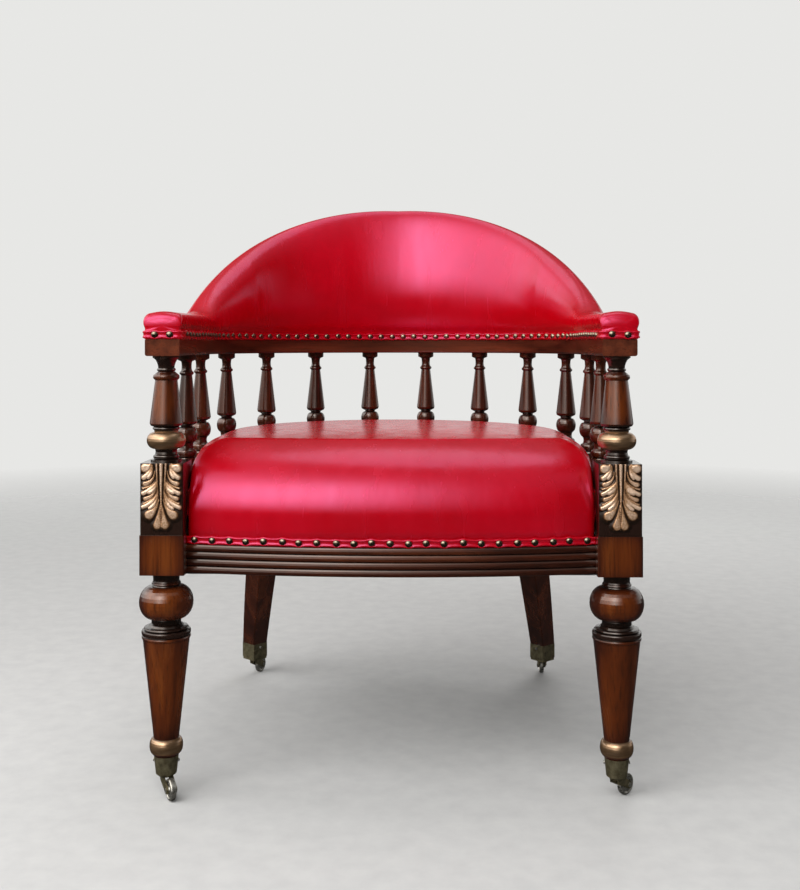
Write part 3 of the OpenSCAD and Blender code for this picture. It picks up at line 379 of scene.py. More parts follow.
def gilding(face_y, relief):
    """Antique gilding on a leaf that stands up to relief in front of face_y, both in metres: pale on its high
    parts and an antique brown in its cuts, which painted shade darkens further towards its ground and in its
    recesses."""
    s = Shade("gilding")
    speck = s.noise(s.coords, 420.0, 4.0)
    # painted shade: the deeper and more enclosed the carving, the darker its gilding
    level = s.math("ADD", s.product(s.math("SUBTRACT", face_y, s.split()[1]), 1 / relief),
                   s.span(speck, 0.3, 0.7, -0.08, 0.08))
    level = s.product(level, s.span(s.hollow(0.004), 0.3, 0.9, 0.35, 1.0))
    tone = s.ramp(level, (0.24, (0.012, 0.005, 0.002)), (0.44, (0.11, 0.046, 0.016)),
                  (0.62, (0.48, 0.26, 0.13)), (0.80, (0.90, 0.64, 0.46)))
    s.set(base_color=tone, metallic=s.span(level, 0.3, 0.7, 0.1, 0.6),
          roughness=s.span(speck, 0.3, 0.7, 0.32, 0.45))
    s.bump(speck, 0.0002, 0.3)
    return s.material


def metal(name, dark, light, roughness, scale, metallic=1.0, recess=0.006):
    """Mottled old metal; its recesses, as wide as recess in metres, are dull and dark."""
    s = Shade(name)
    mottle = s.noise(s.coords, scale, 5.0, 0.65)
    tone = s.mix(s.span(mottle, 0.35, 0.65), dark, light)
    tone = s.mix(s.span(s.hollow(recess), 0.3, 0.9, 0.85, 0.0), tone, tuple(0.18 * v for v in dark))
    s.set(base_color=tone, roughness=s.span(mottle, 0.3, 0.7, roughness - 0.07, roughness + 0.09),
          metallic=metallic)
    s.bump(mottle, 0.00015, 0.25)
    return s.material


def woven(name, dark, light, pitch):
    """A plain weave whose threads lie pitch metres apart."""
    s = Shade(name)
    x, y, z = s.split()
    thread = s.product(*(s.math("SINE", s.product(v, math.pi / pitch)) for v in (x, y)))
    fuzz = s.noise(s.coords, 900.0, 3.0)
    s.set(base_color=s.mix(s.span(s.math("ADD", thread, fuzz), -0.3, 1.3), dark, light), roughness=0.9,
          sheen_weight=0.2)
    s.bump(thread, 0.0003, 0.6)
    return s.material


def felt():
    s = Shade("hair_felt")
    strands = s.noise(s.coords, 240.0, 6.0, 0.75, 1.5)
    s.set(base_color=s.ramp(strands, (0.3, (0.16, 0.12, 0.08)), (0.7, (0.55, 0.48, 0.36))), roughness=0.95,
          sheen_weight=0.3)
    s.bump(strands, 0.002, 0.7)
    return s.material


def beech():
    s = Shade("sawn_beech")
    grain = s.noise(s.stretch((40.0, 6.0, 40.0)), 1.0, 4.0, 0.6, 0.5)
    saw = s.noise(s.stretch((30.0, 500.0, 30.0)), 1.0, 2.0)
    s.set(base_color=s.ramp(grain, (0.35, (0.30, 0.17, 0.08)), (0.65, (0.48, 0.31, 0.16))), roughness=0.75)
    s.bump(saw, 0.0003, 0.5)
    return s.material


# Heights on the front posts: the gilded rings, the lengths with a warm middle, partly rubbed and partly
# painted light, that fades to painted shade at their ends and sides (see mahogany), and the black ones
POST_GILT = ((0.0595, 0.0765), (0.4575, 0.4805))
POST_WARM_AND_SHADED = ((0.078, 0.222, 28.0), (0.240, 0.279, 27.0), (0.293, 0.349, 28.0), (0.490, 0.556, 15.5))
POST_BLACK = ((0.3475, 0.4575), (0.4805, 0.489), (0.560, 0.600), (0.2125, 0.2335), (0.2835, 0.2935))

LEATHER = leather_material()
WOOD_UP = mahogany("mahogany_upright", "up")
WOOD_ROUND = mahogany("mahogany_rail", "round", glow=0.45)
WOOD_ACROSS = mahogany("mahogany_front_rail", "across")
WOOD_POST = mahogany("mahogany_post", "up", gilt=POST_GILT, pale=POST_WARM_AND_SHADED, black=POST_BLACK)
GILT = gilding((LEAF_FACE_Y - MID_Y) * MM, 5.2 * MM)
NAIL = metal("antique_nail", (0.13, 0.105, 0.072), (0.34, 0.285, 0.205), 0.28, 420.0, recess=0.001)
BRASS = metal("aged_brass", (0.11, 0.094, 0.052), (0.24, 0.205, 0.12), 0.46, 140.0, metallic=0.75)
STEEL = metal("worn_steel", (0.26, 0.245, 0.21), (0.62, 0.59, 0.53), 0.3, 220.0, metallic=0.85)
JUTE = woven("jute_webbing", (0.16, 0.11, 0.06), (0.42, 0.31, 0.18), 0.0016)
CLOTH = woven("black_cambric", (0.006, 0.006, 0.007), (0.028, 0.028, 0.030), 0.0008)
FELT = felt()
BEECH = beech()

# The first entry that a node's name starts with is its material
NODE_MATERIALS = (
    ("front_post", WOOD_POST), ("rear_leg", WOOD_UP), ("spindle", WOOD_UP), ("front_seat_rail", WOOD_ACROSS),
    ("side_seat_rail", WOOD_ROUND), ("back_seat_rail", WOOD_ROUND), ("gallery_rail", WOOD_ROUND),
    ("arm_rail", WOOD_ROUND), ("back_rail", WOOD_ROUND), ("corner_blocks", BEECH), ("back_former", BEECH),
    ("acanthus", GILT), ("seat_webbing", JUTE), ("seat_stuffing", FELT), ("dust_cover", CLOTH),
    ("seat_nails", NAIL), ("back_nails", NAIL), ("arm_nails", NAIL), ("castor_cup", BRASS),
    ("castor_horn", BRASS), ("castor_axle", STEEL), ("castor_wheel", STEEL), ("castor_screws", STEEL),
    ("seat_", LEATHER), ("back_", LEATHER),
)

for name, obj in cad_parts.items():
    material = next(m for start, m in NODE_MATERIALS if name.startswith(start))
    obj.data.materials.clear()
    obj.data.materials.append(material)

# Seat

RIM_H = 62.0  # height of the leather above the webbing where the roll ends
CROWN_H = 68.0  # its height in the middle
ROLL_W = 34.0  # width of the roll at the sides and the back
FRONT_ROLL_W = 85.0
FRONT_ROLL_H = 95.0
ROLL_END = math.radians(64)  # how far the roll turns from upright
ROLL_BLEND = 170.0  # distance from the front over which its roll turns into that of the sides
SEAT_MID_Y = ARM_RUN * 0.9
SKIRT_Z = 333.0  # lower edge of the leather on the front rail
CORNER_R = 9.0  # rounding of the front corners
LAP_END = 16.0  # distance behind a corner within which the leather comes up from the front rail
BLOCK_BACK_Y = 29.0  # the back face of the posts' blocks
FLANK_END_Y = 55.0  # where the seat is as wide as the gallery lets it be
HIDE_T = 2.2  # thickness of the leather
FILL_IN = 4.2  # distance from the leather's face to the filling


def seat_outline(inset):
    """The seat's outline from its front left corner, counter-clockwise, and 1 where it hangs over the front
    rail."""
    w = POST_IN - FIT - inset
    side = BACK_R - RAIL_HALF - FIT - inset
    r = BOW_R - inset
    a = math.asin(w / r) - CORNER_R / r
    t = np.linspace(-a, a, 121)
    bow = np.column_stack((r * np.sin(t), BOW_Y - r * np.cos(t)))
    end = bow[-1]
    u = np.linspace(0, 1, 9)[1:]
    tip = np.array([w, end[1] + 1.6])
    after = tip + (0, CORNER_R)
    bend = np.outer((1 - u) ** 2, end) + np.outer(2 * u * (1 - u), tip) + np.outer(u ** 2, after)
    y = np.concatenate((np.linspace(after[1], BLOCK_BACK_Y, 9)[1:],
                        np.linspace(BLOCK_BACK_Y, FLANK_END_Y, 10)[1:],
                        np.linspace(FLANK_END_Y, ARM_RUN, 34)[1:-1]))
    widen = ease((y - BLOCK_BACK_Y) / (FLANK_END_Y - BLOCK_BACK_Y))
    flank = np.column_stack((w + (side - w) * widen, y))
    theta = np.linspace(0, math.pi, 150)
    back = np.column_stack((side * np.cos(theta), ARM_RUN + side * np.sin(theta)))
    right = np.vstack((bend, flank))
    left = right[::-1] * (-1, 1)
    points = np.vstack((bow, right, back, left))
    lap = ease(1 - (right[:, 1] - end[1]) / LAP_END)
    over_rail = np.concatenate((np.ones(len(bow)), lap, np.zeros(len(back)), lap[::-1]))
    return points, over_rail


def roll_reach(lack):
    """How far inward the roll has come, of 1, where it still lacks this share of its height."""
    a = np.arcsin(math.sin(ROLL_END) * np.clip(1 - lack, 0, 1))
    return (1 - np.cos(a)) / (1 - math.cos(ROLL_END))


def seat_ring(q, f, t, low=0.0):
    """A ring of the seat's surface: q runs up the roll of the rim, at the front from low, f shrinks the ring
    towards the middle, and t is a depth."""
    p, over_rail = seat_outline(t)
    x, y = p[:, 0], p[:, 1]
    share = 1 - ease((y - FRONT_END_Y) / ROLL_BLEND)
    rise = np.sin(ROLL_END * np.maximum(q, low * share)) / math.sin(ROLL_END)
    lack = (ROLL_W + (FRONT_ROLL_H - ROLL_W) * share) * (1 - rise)
    kx = ROLL_W * roll_reach(lack / ROLL_W) / BACK_R
    front = FRONT_ROLL_W * roll_reach(lack / FRONT_ROLL_H) / np.maximum(1, SEAT_MID_Y - y)
    ky = kx + share * (front - kx)
    h = RIM_H + (CROWN_H - RIM_H) * (1 - f * f) - lack - t * rise
    # the leather stays just above the webbing, but at the front it may go down the rail
    h = np.maximum(0.6 - 80 * over_rail, h)
    return np.column_stack((x * (1 - kx) * f, SEAT_MID_Y + (y - SEAT_MID_Y) * (1 - ky) * f, WEB_Z + h))


def skirt_ring(t, share):
    """A ring below the roll: at the front it hangs down the rail, elsewhere it stops at the webbing."""
    p, over_rail = seat_outline(t)
    top = seat_ring(0, 1, t)[:, 2]
    foot = WEB_Z + FIT - over_rail * (WEB_Z + FIT - SKIRT_Z)
    return np.column_stack((p, foot + (top - foot) * share))


def pucker(points, nails):
    """Small gathers that the nails pull into the leather above the front band, and the tuck along it."""
    band_top, fade, gather_w, gather, tuck_h, tuck = 345.0, 26.0, 5.0, 0.5, 5.0, 1.5
    near = np.zeros(len(points))
    for at in nails:
        near += np.exp(-((points[:, 0] - at) / gather_w) ** 2)
    height = np.clip((points[:, 2] - band_top) / fade, 0, 1)
    front = points[:, 1] < FRONT_END_Y + 2
    pressed = tuck * np.exp(-((points[:, 2] - band_top + 1.0) / tuck_h) ** 2)
    points[:, 1] += np.where(front, pressed + gather * near * (1 - height) ** 2, 0)


def corner_fold(points, side):
    """A short fold where the leather is gathered at a front corner, leaning inward as it goes up."""
    x, z = points[:, 0] * side, points[:, 2]
    line = 258.5 - 0.3 * (z - 400)
    fold = np.exp(-((x - line) / 2.2) ** 2) * ease((z - 372) / 18) * ease((432 - z) / 22)
    points[:, 1] += 1.6 * fold * (points[:, 1] < 30)


SEAT_NAILS = 23
bow_half = math.asin(POST_IN / BOW_R)
seat_nails_at = (np.arange(SEAT_NAILS) - SEAT_NAILS // 2) * (2 * bow_half / SEAT_NAILS) * BOW_R
seat_nails_at += rng.uniform(-1.3, 1.3, SEAT_NAILS)
seat_nails_up = rng.uniform(-0.8, 0.8, SEAT_NAILS)


def make_seat():
    """The seat's leather, from its lower edge over the roll to the middle, and the filling under it."""
    rings = [skirt_ring(0, v) for v in np.linspace(0, 1, 16)[:-1]]
    rings += [seat_ring(q, 1, 0) for q in np.linspace(0, 1, 34)]
    rings += [seat_ring(1, f, 0) for f in np.linspace(1, 0.04, 30)[1:]]
    n = len(rings[0])
    points = np.vstack(rings + [[[0, SEAT_MID_Y, WEB_Z + CROWN_H]]])
    pucker(points, BOW_R * np.sin(seat_nails_at / BOW_R))
    for side in (-1, 1):
        corner_fold(points, side)
    faces = grid_faces(len(rings), n, round_cols=True) + fan((len(rings) - 1) * n, n, len(rings) * n)
    seat = piece("seat_leather", points, faces, LEATHER, "seat_cover")
    thicken(seat, HIDE_T)

    floor = WEB_Z + 0.4
    rings = [seat_ring(q, 1, FILL_IN, 0.45) for q in (0.0, 0.12, 0.3, 0.5, 0.7, 0.85, 1.0)]
    rings += [seat_ring(1, f, FILL_IN) for f in (0.85, 0.7, 0.5, 0.3, 0.12)]
    rings = [np.column_stack((r[::3, :2], np.maximum(r[::3, 2], floor))) for r in rings]
    n = len(rings[0])
    middle = [[0, SEAT_MID_Y, WEB_Z + CROWN_H - FILL_IN], [0, SEAT_MID_Y, floor]]
    faces = grid_faces(len(rings), n, round_cols=True) + fan((len(rings) - 1) * n, n, len(rings) * n)
    faces += [f[::-1] for f in fan(0, n, len(rings) * n + 1)]
    filling = piece("seat_filling", np.vstack(rings + [middle]), faces, FELT, "seat_stuffing")


make_seat()

# Dust cloth

DUST_WIDE = 539.0
DUST_FRONT = -12.5
DUST_Z = 294.7  # height of its edge, just under the rails
DUST_SAG = 5.0
DUST_T = 0.5
DUST_MID = np.array([0.0, 215.0])
LEG_W = 42.0
LEG_TURN = math.radians(42.5)  # where the rear legs stand on the round back


def make_dust_cloth():
    """Black cambric stretched under the rails and cut out round the rear legs, with a slack belly and small
    pulls at its tacks."""
    spot = BACK_R * np.array([math.cos(LEG_TURN), math.sin(LEG_TURN)]) + (0, ARM_RUN)
    theta = np.linspace(0, 2 * math.pi, 288, endpoint=False)
    out = np.column_stack((np.cos(theta), np.sin(theta)))
    r = np.arange(0, 460, 0.5)
    x = DUST_MID[0] + np.outer(out[:, 0], r)
    y = DUST_MID[1] + np.outer(out[:, 1], r)
    wide = DUST_WIDE / 2
    inside = (np.abs(x) < wide) & (y > DUST_FRONT) & ((y < ARM_RUN) | (np.hypot(x, y - ARM_RUN) < wide))
    inside &= np.hypot(np.abs(x) - spot[0], y - spot[1]) > LEG_W * 0.75
    reach = r[np.argmin(inside, axis=1) - 1]
    points = []
    shares = (1, 0.985, 0.96, 0.92, 0.86, 0.78, 0.68, 0.56, 0.42, 0.28, 0.14)
    for f in shares:
        ring = DUST_MID + out * (reach * f)[:, None]
        inward = 1 - f
        pulls = 0.7 * np.cos(theta * 36) * np.exp(-(inward / 0.06) ** 2) * (1 - np.exp(-(inward / 0.02) ** 2))
        z = DUST_Z - DUST_SAG * (1 - f * f) ** 1.5 - np.abs(pulls)
        points += list(np.column_stack((ring, z)))
    points.append((*DUST_MID, DUST_Z - DUST_SAG))
    n = len(theta)
    faces = grid_faces(len(shares), n, round_cols=True) + fan((len(shares) - 1) * n, n, len(shares) * n)
    cloth = piece("dust_cloth", points, faces, CLOTH, "dust_cover")
    thicken(cloth, DUST_T)


make_dust_cloth()

# Back and arm pad

BAND_H = 12.0  # height of the pad's foot, which the band covers
CREST_FOOT = 22.0  # height at which the crest's curve leaves the arms
CREST_FULL = 6.0  # fullness of that curve
ARM_ROUND = 9.0  # rounding of the pad's shoulders on the arms
BACK_ROUND = 100.0  # greatest rounding of the inner shoulder on the back
BELLY = 14.0  # how far the back's inner face swells
LEAN = 40.0  # how far it leans outward
# Where the arm's section starts to turn into the back's, and where it has, from the end of the straight run
PAD_BLEND = (-75.0, 125.0)


def climb(s):
    """Height of the back's crest at s, before the arms' level top takes over."""
    turn = (s - ARM_RUN) / BACK_R
    rise = CREST_H - CREST_FOOT
    on_back = CREST_FOOT + rise * np.sin(turn) + CREST_FULL * np.sin(2 * turn)
    return np.where(turn < 0, CREST_FOOT + (rise + 2 * CREST_FULL) * turn, on_back)


def pad_top(s):
    """Height of the pad's top: the higher of the arms' level and the crest's climb, with a soft passage."""
    c = climb(np.minimum(s, 2 * RUN - s))
    return (PAD_H + c + np.sqrt((PAD_H - c) ** 2 + 16 ** 2)) / 2


def rounding(size, reach, end):
    """How far a rounding of the arm's end takes off at a distance from it."""
    return size * (1 - math.sqrt(1 - max(0.0, 1 - end / reach) ** 2))


def pad_section(s, end):
    """The pad's section at s as [outward, height], foot to foot over the top; end is the distance to the
    arm's end.

    Round the back the inner face swells low down, leans outward and rolls over a wide shoulder; on the arms
    both shoulders are tight and the top between them is slightly arched."""
    top = float(pad_top(s))
    full = max(0.0, (top - PAD_H - 8) / (CREST_H - PAD_H - 8))
    run = min(s, 2 * RUN - s)
    share = float(ease((run - ARM_RUN - PAD_BLEND[0]) / (PAD_BLEND[1] - PAD_BLEND[0])))
    pull = rounding(2.4, 6, end)
    side = PAD_SIDE + 1.6 - pull
    foot = PAD_SIDE - 0.4 - pull * 0.3
    top -= rounding(9.0, 13, end)
    tall = top - BAND_H
    shoulder = ARM_ROUND + (min(BACK_ROUND, 0.8 * tall) - ARM_ROUND) * share

    def wall(h):
        v = np.clip((h - BAND_H) / (tall - ARM_ROUND - 8 * share), 0, 1)
        return -side - BELLY * full * np.sin(math.pi * v ** 0.7) + LEAN * full * np.maximum(0, v - 0.2) ** 2

    def over(x0, x1, h1, slope):
        """A shoulder from the level point (x0, top) to (x1, h1), where the wall leaves at the given slope."""
        q = np.array([x1 + slope * (top - h1), top])
        a, d = np.array([x0, top]), np.array([x1, h1])
        b, c = a + 0.56 * (q - a), d + 0.56 * (q - d)
        t = np.linspace(0, 1, 22)[:, None]
        return a * (1 - t) ** 3 + 3 * b * t * (1 - t) ** 2 + 3 * c * t ** 2 * (1 - t) + d * t ** 3

    def tuck(h):
        return 2.2 * np.exp(-((h - BAND_H - 1) / (4.5 + 3 * full)) ** 2)

    def up_to(h, count):
        return BAND_H + (h - BAND_H) * np.linspace(0.04, 1, count)

    h_out = top - ARM_ROUND - 13 * share
    rise = up_to(h_out, 20)
    outer = np.column_stack((side - tuck(rise), rise))
    h_in = top - shoulder
    climb_in = up_to(h_in, 30)
    inner = np.column_stack((wall(climb_in) + tuck(climb_in), climb_in))
    slope = float(wall(h_in) - wall(h_in - 0.1)) / 0.1
    # on the arms the shoulders start apart, on the back they share the line of the crest
    apex = ARM_ROUND
    x_out = side - ARM_ROUND + (apex - side + ARM_ROUND) * share
    x_in = ARM_ROUND - side + (apex + side - ARM_ROUND) * share
    outside = over(x_out, side, h_out, 0.0)[::-1]
    inside = over(x_in, float(wall(h_in)), h_in, slope)
    flat = np.linspace(x_out, x_in, 12)[1:-1]
    middle, half = (x_out + x_in) / 2, max(1.0, (x_out - x_in) / 2)
    arch = np.column_stack((flat, top + 2.2 * (1 - share) * (1 - ((flat - middle) / half) ** 2)))
    feet = [np.column_stack((sign * np.full(3, foot), (0, 6, BAND_H - 0.5))) for sign in (1, -1)]
    return np.vstack((feet[0], outer[:-1], outside[:-1], arch, inside, inner[::-1][1:], feet[1][::-1]))


def on_shoe(s, section):
    """A section's points, where it stands at s on the horseshoe."""
    x, y, turn = shoe(s)
    out, height = section.T
    return np.column_stack((x + out * math.cos(turn), y + out * math.sin(turn), PAD_Z + height))


def make_pad():
    """The leather-covered pad from arm end to arm end, as sections along the horseshoe."""
    start = FIT - ARM_END
    dome_z, dome_out = 17, 2.2
    near = start + np.array([0, 0.25, 0.8, 1.6, 2.6, 3.8, 5.2, 7, 9, 11.5, 15, 20])
    inside = np.arange(start + 26, RUN + 1, 4.5)
    half = np.concatenate((near, inside[inside < RUN - 2]))
    stations = np.concatenate((half, [RUN], (2 * RUN - half)[::-1]))
    rows = []
    for s in stations:
        end = min(s - start, 2 * RUN - start - s)
        rows.append(on_shoe(s, pad_section(s, end)))
    n = len(rows[0])
    points = list(np.vstack(rows))
    faces = grid_faces(len(rows), n)
    # each arm's end is a slightly domed face
    for row, x0 in ((0, BACK_R), (len(rows) - 1, -BACK_R)):
        rim = rows[row]
        loops = [row * n]
        for share in (0.97, 0.93, 0.89, 0.86, 0.83, 0.8, 0.76, 0.68, 0.55, 0.4, 0.22):
            loops.append(len(points))
            for p in rim:
                off, h = (p[0] - x0) * share, dome_z + (p[2] - PAD_Z - dome_z) * share
                points.append((x0 + off, p[1] - dome_out * (1 - share ** 3), PAD_Z + h))
        loops.append(len(points))
        points.append((x0, rim[0][1] - dome_out, PAD_Z + dome_z))
        for a, b in zip(loops[:-2], loops[1:-1]):
            faces += [(a + i, a + i + 1, b + i + 1, b + i) for i in range(n - 1)]
            faces.append((a + n - 1, a, b, b + n - 1))
        faces += fan(loops[-2], n, loops[-1])
    # the underside, foot to foot
    faces += [(j * n, (j + 1) * n, (j + 2) * n - 1, (j + 1) * n - 1) for j in range(len(rows) - 1)]
    pad = piece("back_and_arm_leather", points, faces, LEATHER, "back_pad")


make_pad()

# Bands and nails

class Route:
    """A line in plan, with its outward side on the right, that finds points at a distance along it."""

    def __init__(self, points, closed):
        p = np.asarray(points, float)
        if closed:
            p = np.vstack((p, p[:1]))
        self.p = p
        self.closed = closed
        self.run = np.concatenate(([0], np.cumsum(np.linalg.norm(np.diff(p, axis=0), axis=1))))
        self.length = self.run[-1]

    def at(self, u):
        return np.column_stack((np.interp(u, self.run, self.p[:, 0]), np.interp(u, self.run, self.p[:, 1])))

    def out(self, u):
        """The outward direction, from points a little before and after."""
        low, high = u - 0.6, u + 0.6
        if self.closed:
            low, high = low % self.length, high % self.length
        else:
            low, high = np.clip(low, 0, self.length), np.clip(high, 0, self.length)
        t = self.at(high) - self.at(low)
        t /= np.linalg.norm(t, axis=1)[:, None]
        return np.column_stack((t[:, 1], -t[:, 0]))

    def near(self, x, y):
        """The distance along the line where it passes closest to a point."""
        u = np.linspace(0, self.length, 6000)
        p = self.at(u)
        return u[np.argmin((p[:, 0] - x) ** 2 + (p[:, 1] - y) ** 2)]


def welted_band(name, route, z_mid, nails, ups, node):
    """A leather band with a round welt along each edge, which its nails press flat and spread."""
    step, pressed, shifted = 1.6, 4.6, 9.0
    count = int(route.length / step)
    u = np.arange(count) * route.length / count if route.closed else np.linspace(0, route.length, count)
    near = np.zeros(count)
    lift = np.zeros(count)
    for at, up in zip(nails, ups):
        away = np.abs(u - at)
        if route.closed:
            away = np.minimum(away, route.length - away)
        near += np.exp(-(away / pressed) ** 2)
        lift += up * np.exp(-(away / shifted) ** 2)
    near = np.clip(near, 0, 1)
    here, out = route.at(u), route.out(u)
    rows = []
    for i in range(count):
        # half of the band's section, from its edge over the welt to the middle: height and thickness
        half = 4.9 + 1.15 * near[i]
        trough = 1.55 - 0.75 * near[i]
        w = [half, half, half - 0.25, half - 0.8, half - 1.6, half - 2.4, half - 3.0, half - 3.7, 0]
        t = [0, 0.9, 1.7, 2.3, 2.6, 2.35, trough + 0.35, trough, trough]
        w = np.array(w + [-v for v in w[-2::-1]])
        t = np.array(t + t[-2::-1])[:, None]
        rows.append(np.column_stack((here[i] + out[i] * t, z_mid + lift[i] + w)))
    n = len(rows[0])
    faces = grid_faces(count, n, round_cols=True, round_rows=route.closed)
    if not route.closed:
        faces += [tuple(range(n)), tuple(range((count - 1) * n, count * n))]
    piece(name, np.vstack(rows), faces, LEATHER, node)


def nail_heads(name, spots, node):
    """Domed nail heads at spots of (x, y, z, outward x, outward y)."""
    rings, around, foot = 7, 22, 0.5
    points, faces = [], []
    for x, y, z, ox, oy in spots:
        first = len(points)
        radius = 4.95 + rng.uniform(-0.12, 0.12)
        tall = 3.7 + rng.uniform(-0.15, 0.15)
        for j in range(rings):
            a = math.pi / 2 * j / rings
            r, h = radius * math.cos(a) ** 0.8, foot + 0.1 * (j > 0) + tall * math.sin(a)
            for i in range(around):
                b = 2 * math.pi * i / around
                side, up = r * math.cos(b), r * math.sin(b)
                points.append((x + ox * h - oy * side, y + oy * h + ox * side, z + up))
        points += [(x + ox * h, y + oy * h, z) for h in (foot + 0.1 + tall, foot)]
        faces += grid_faces(rings, around, round_cols=True, start=first)
        faces += fan(first + (rings - 1) * around, around, first + rings * around)
        faces += [f[::-1] for f in fan(first, around, first + rings * around + 1)]
    piece(name, points, faces, NAIL, node)


def spots_on(route, nails, ups, z_mid):
    """Spots for nail_heads at distances along a route, each a little off the height z_mid."""
    nails = np.asarray(nails)
    here, out = route.at(nails), route.out(nails)
    return [(*here[i], z_mid + ups[i], *out[i]) for i in range(len(nails))]


def make_seat_band():
    t = np.linspace(-bow_half, bow_half, 400)
    r = BOW_R + 0.1
    route = Route(np.column_stack((r * np.sin(t), BOW_Y - r * np.cos(t))), closed=False)
    nails = route.length / 2 + seat_nails_at
    welted_band("seat_front_band", route, SEAT_BAND_Z, nails, seat_nails_up, "seat_band")
    nail_heads("seat_front_nails", spots_on(route, nails, seat_nails_up, SEAT_BAND_Z), "seat_nails")


make_seat_band()

BACK_NAILS = 64  # in each of the two rows
BACK_NAIL_PITCH = 21.0
ARM_NAIL_X = 10.2  # of the two nails on an arm's end, from its middle


def make_back_bands():
    """The band round the pad's foot, with rounded corners at the arms' ends, and its nails."""
    out_r, in_r, corner = BACK_R + PAD_SIDE, BACK_R - PAD_SIDE, 5.0
    y = np.linspace(corner - ARM_END, ARM_RUN, 60)
    theta = np.linspace(0, math.pi, 300)[1:-1]
    quarter = np.radians(np.linspace(0, 90, 12))
    end = -ARM_END

    def turn(x, y0, start):
        return [(x + corner * math.cos(a), y0 + corner * math.sin(a)) for a in start + quarter]

    line = [(out_r, v) for v in y]
    line += [(out_r * math.cos(a), ARM_RUN + out_r * math.sin(a)) for a in theta]
    line += [(-out_r, v) for v in y[::-1][:-1]]
    line += turn(-out_r + corner, end + corner, math.pi)
    line += turn(-in_r - corner, end + corner, 1.5 * math.pi)
    line += [(-in_r, v) for v in y[1:]]
    line += [(-in_r * math.cos(a), ARM_RUN + in_r * math.sin(a)) for a in theta]
    line += [(in_r, v) for v in y[::-1][:-1]]
    line += turn(in_r + corner, end + corner, math.pi)
    line += turn(out_r - corner, end + corner, 1.5 * math.pi)[:-1]
    route = Route(line, closed=True)

    outer, inner = [], []
    for i in range(BACK_NAILS):
        x, y_at, a = shoe(RUN + (i - (BACK_NAILS - 1) / 2) * BACK_NAIL_PITCH)
        for row, off in ((outer, PAD_SIDE), (inner, -PAD_SIDE)):
            row.append(route.near(x + off * math.cos(a), y_at + off * math.sin(a)) + rng.uniform(-1, 1))
    ends = [route.near(x + e, end) + rng.uniform(-0.6, 0.6)
            for x in (-BACK_R, BACK_R) for e in (-ARM_NAIL_X, ARM_NAIL_X)]
    nails = outer + inner + ends
    ups = rng.uniform(-0.6, 0.6, len(nails))
    welted_band("back_and_arm_band", route, BAND_Z, nails, ups, "back_band")
    first = 0
    for name, row, node in (("back_outer_nails", outer, "back_nails_outer"),
                            ("back_inner_nails", inner, "back_nails_inner"),
                            ("arm_end_nails", ends, "arm_nails")):
        nail_heads(name, spots_on(route, row, ups[first:first + len(row)], BAND_Z), node)
        first += len(row)


make_back_bands()

# Carved leaves

LEAF_W = 27.3
LEAF_TOP = 439.2
LEAF_H = 87.0
LEAF_GRID = 0.4
LEAF_GROUND = 1.5  # height of the ground between the strokes
# Strokes of the leaf's right half, in millimetres from the middle and down from the top: three points of a
# curve, widths at its start, middle and end, heights at its start and end, and the hollow of its tip
LEAF_STROKES = (
    ((0, -1), (0, 36), (0, 83), (3.2, 1.7, 0.8), 4.4, 3.4, 0),
    ((5.9, -1), (5.4, 24), (2.9, 50), (1.5, 1.2, 0.6), 3.9, 2.6, 0),
    ((1.1, 52), (3.4, 66), (4.9, 78.6), (0.8, 2.3, 4.6), 2.9, 4.6, 2.0),
    ((2.9, 46), (6.6, 59.5), (15.6, 65.2), (0.9, 2.6, 5.3), 2.9, 4.8, 1.9),
    ((4.0, 35), (8.0, 50), (23.5, 55.4), (1.0, 3.0, 2.6), 3.0, 4.8, 0.5),
    ((3.7, 37), (6.8, 53), (14.8, 56.8), (1.0, 2.6, 2.3), 2.9, 4.9, 0.5),
    ((4.9, 32), (9.2, 46), (22.8, 50.8), (0.7, 1.0, 1.4), 2.4, 3.6, 0),
    ((6.1, 27), (7.6, 41), (19.9, 44.4), (0.9, 1.8, 2.9), 3.0, 4.5, 1.3),
    ((4.6, 20), (9.4, 31.5), (22.9, 37.4), (1.0, 3.0, 2.7), 3.0, 4.9, 0.5),
    ((4.4, 21), (8.0, 34.5), (15.8, 36.4), (1.0, 2.5, 2.4), 2.9, 5.0, 0.5),
    ((5.5, 17), (10.4, 28.5), (23.4, 31.0), (0.7, 1.1, 1.5), 2.4, 3.6, 0),
    ((8.4, 9), (9.0, 22), (20.4, 25.2), (0.9, 1.9, 3.1), 3.0, 4.6, 1.3),
    ((12.0, 1.5), (14.0, 12.5), (22.2, 17.2), (1.3, 3.3, 3.0), 3.2, 4.9, 0.8),
    ((11.4, 2), (12.0, 12.5), (16.2, 16.8), (1.2, 2.3, 2.3), 3.1, 4.9, 0.5),
    ((13.6, 0.0), (15.8, 4.0), (20.6, 4.8), (1.6, 3.6, 5.2), 3.4, 5.0, 1.4),
)


def leaf_height(x, y):
    """Height of the carving at points (x, y) of the right half, in millimetres; below 0 outside it."""
    height = np.full(x.shape, -1.2)
    ground = np.full(x.shape, -1.2)
    t = np.linspace(0, 1, 40)
    for a, b, c, widths, h0, h1, hollow in LEAF_STROKES:
        px, py = ((1 - t) ** 2 * p + 2 * t * (1 - t) * q + t ** 2 * r for p, q, r in zip(a, b, c))
        w = np.interp(t, (0, 0.55, 1), widths) * (1.0 + 0.26 * (c[0] > 0.5))
        tall = h0 + (h1 - h0) * ease(t)
        for k in range(len(t)):
            d = np.hypot(x - px[k], y - py[k]) / w[k]
            dome = tall[k] * np.sqrt(np.clip(1 - d ** 2.6, 0, 1))
            dome -= hollow * t[k] ** 2 * np.exp(-(d / 0.5) ** 2)
            height = np.where(d < 1, np.maximum(height, dome), height)
            ground = np.maximum(ground, 1.6 - 2.4 * np.maximum(0, d - 1.05))
    return np.maximum(height, np.minimum(ground, LEAF_GROUND))


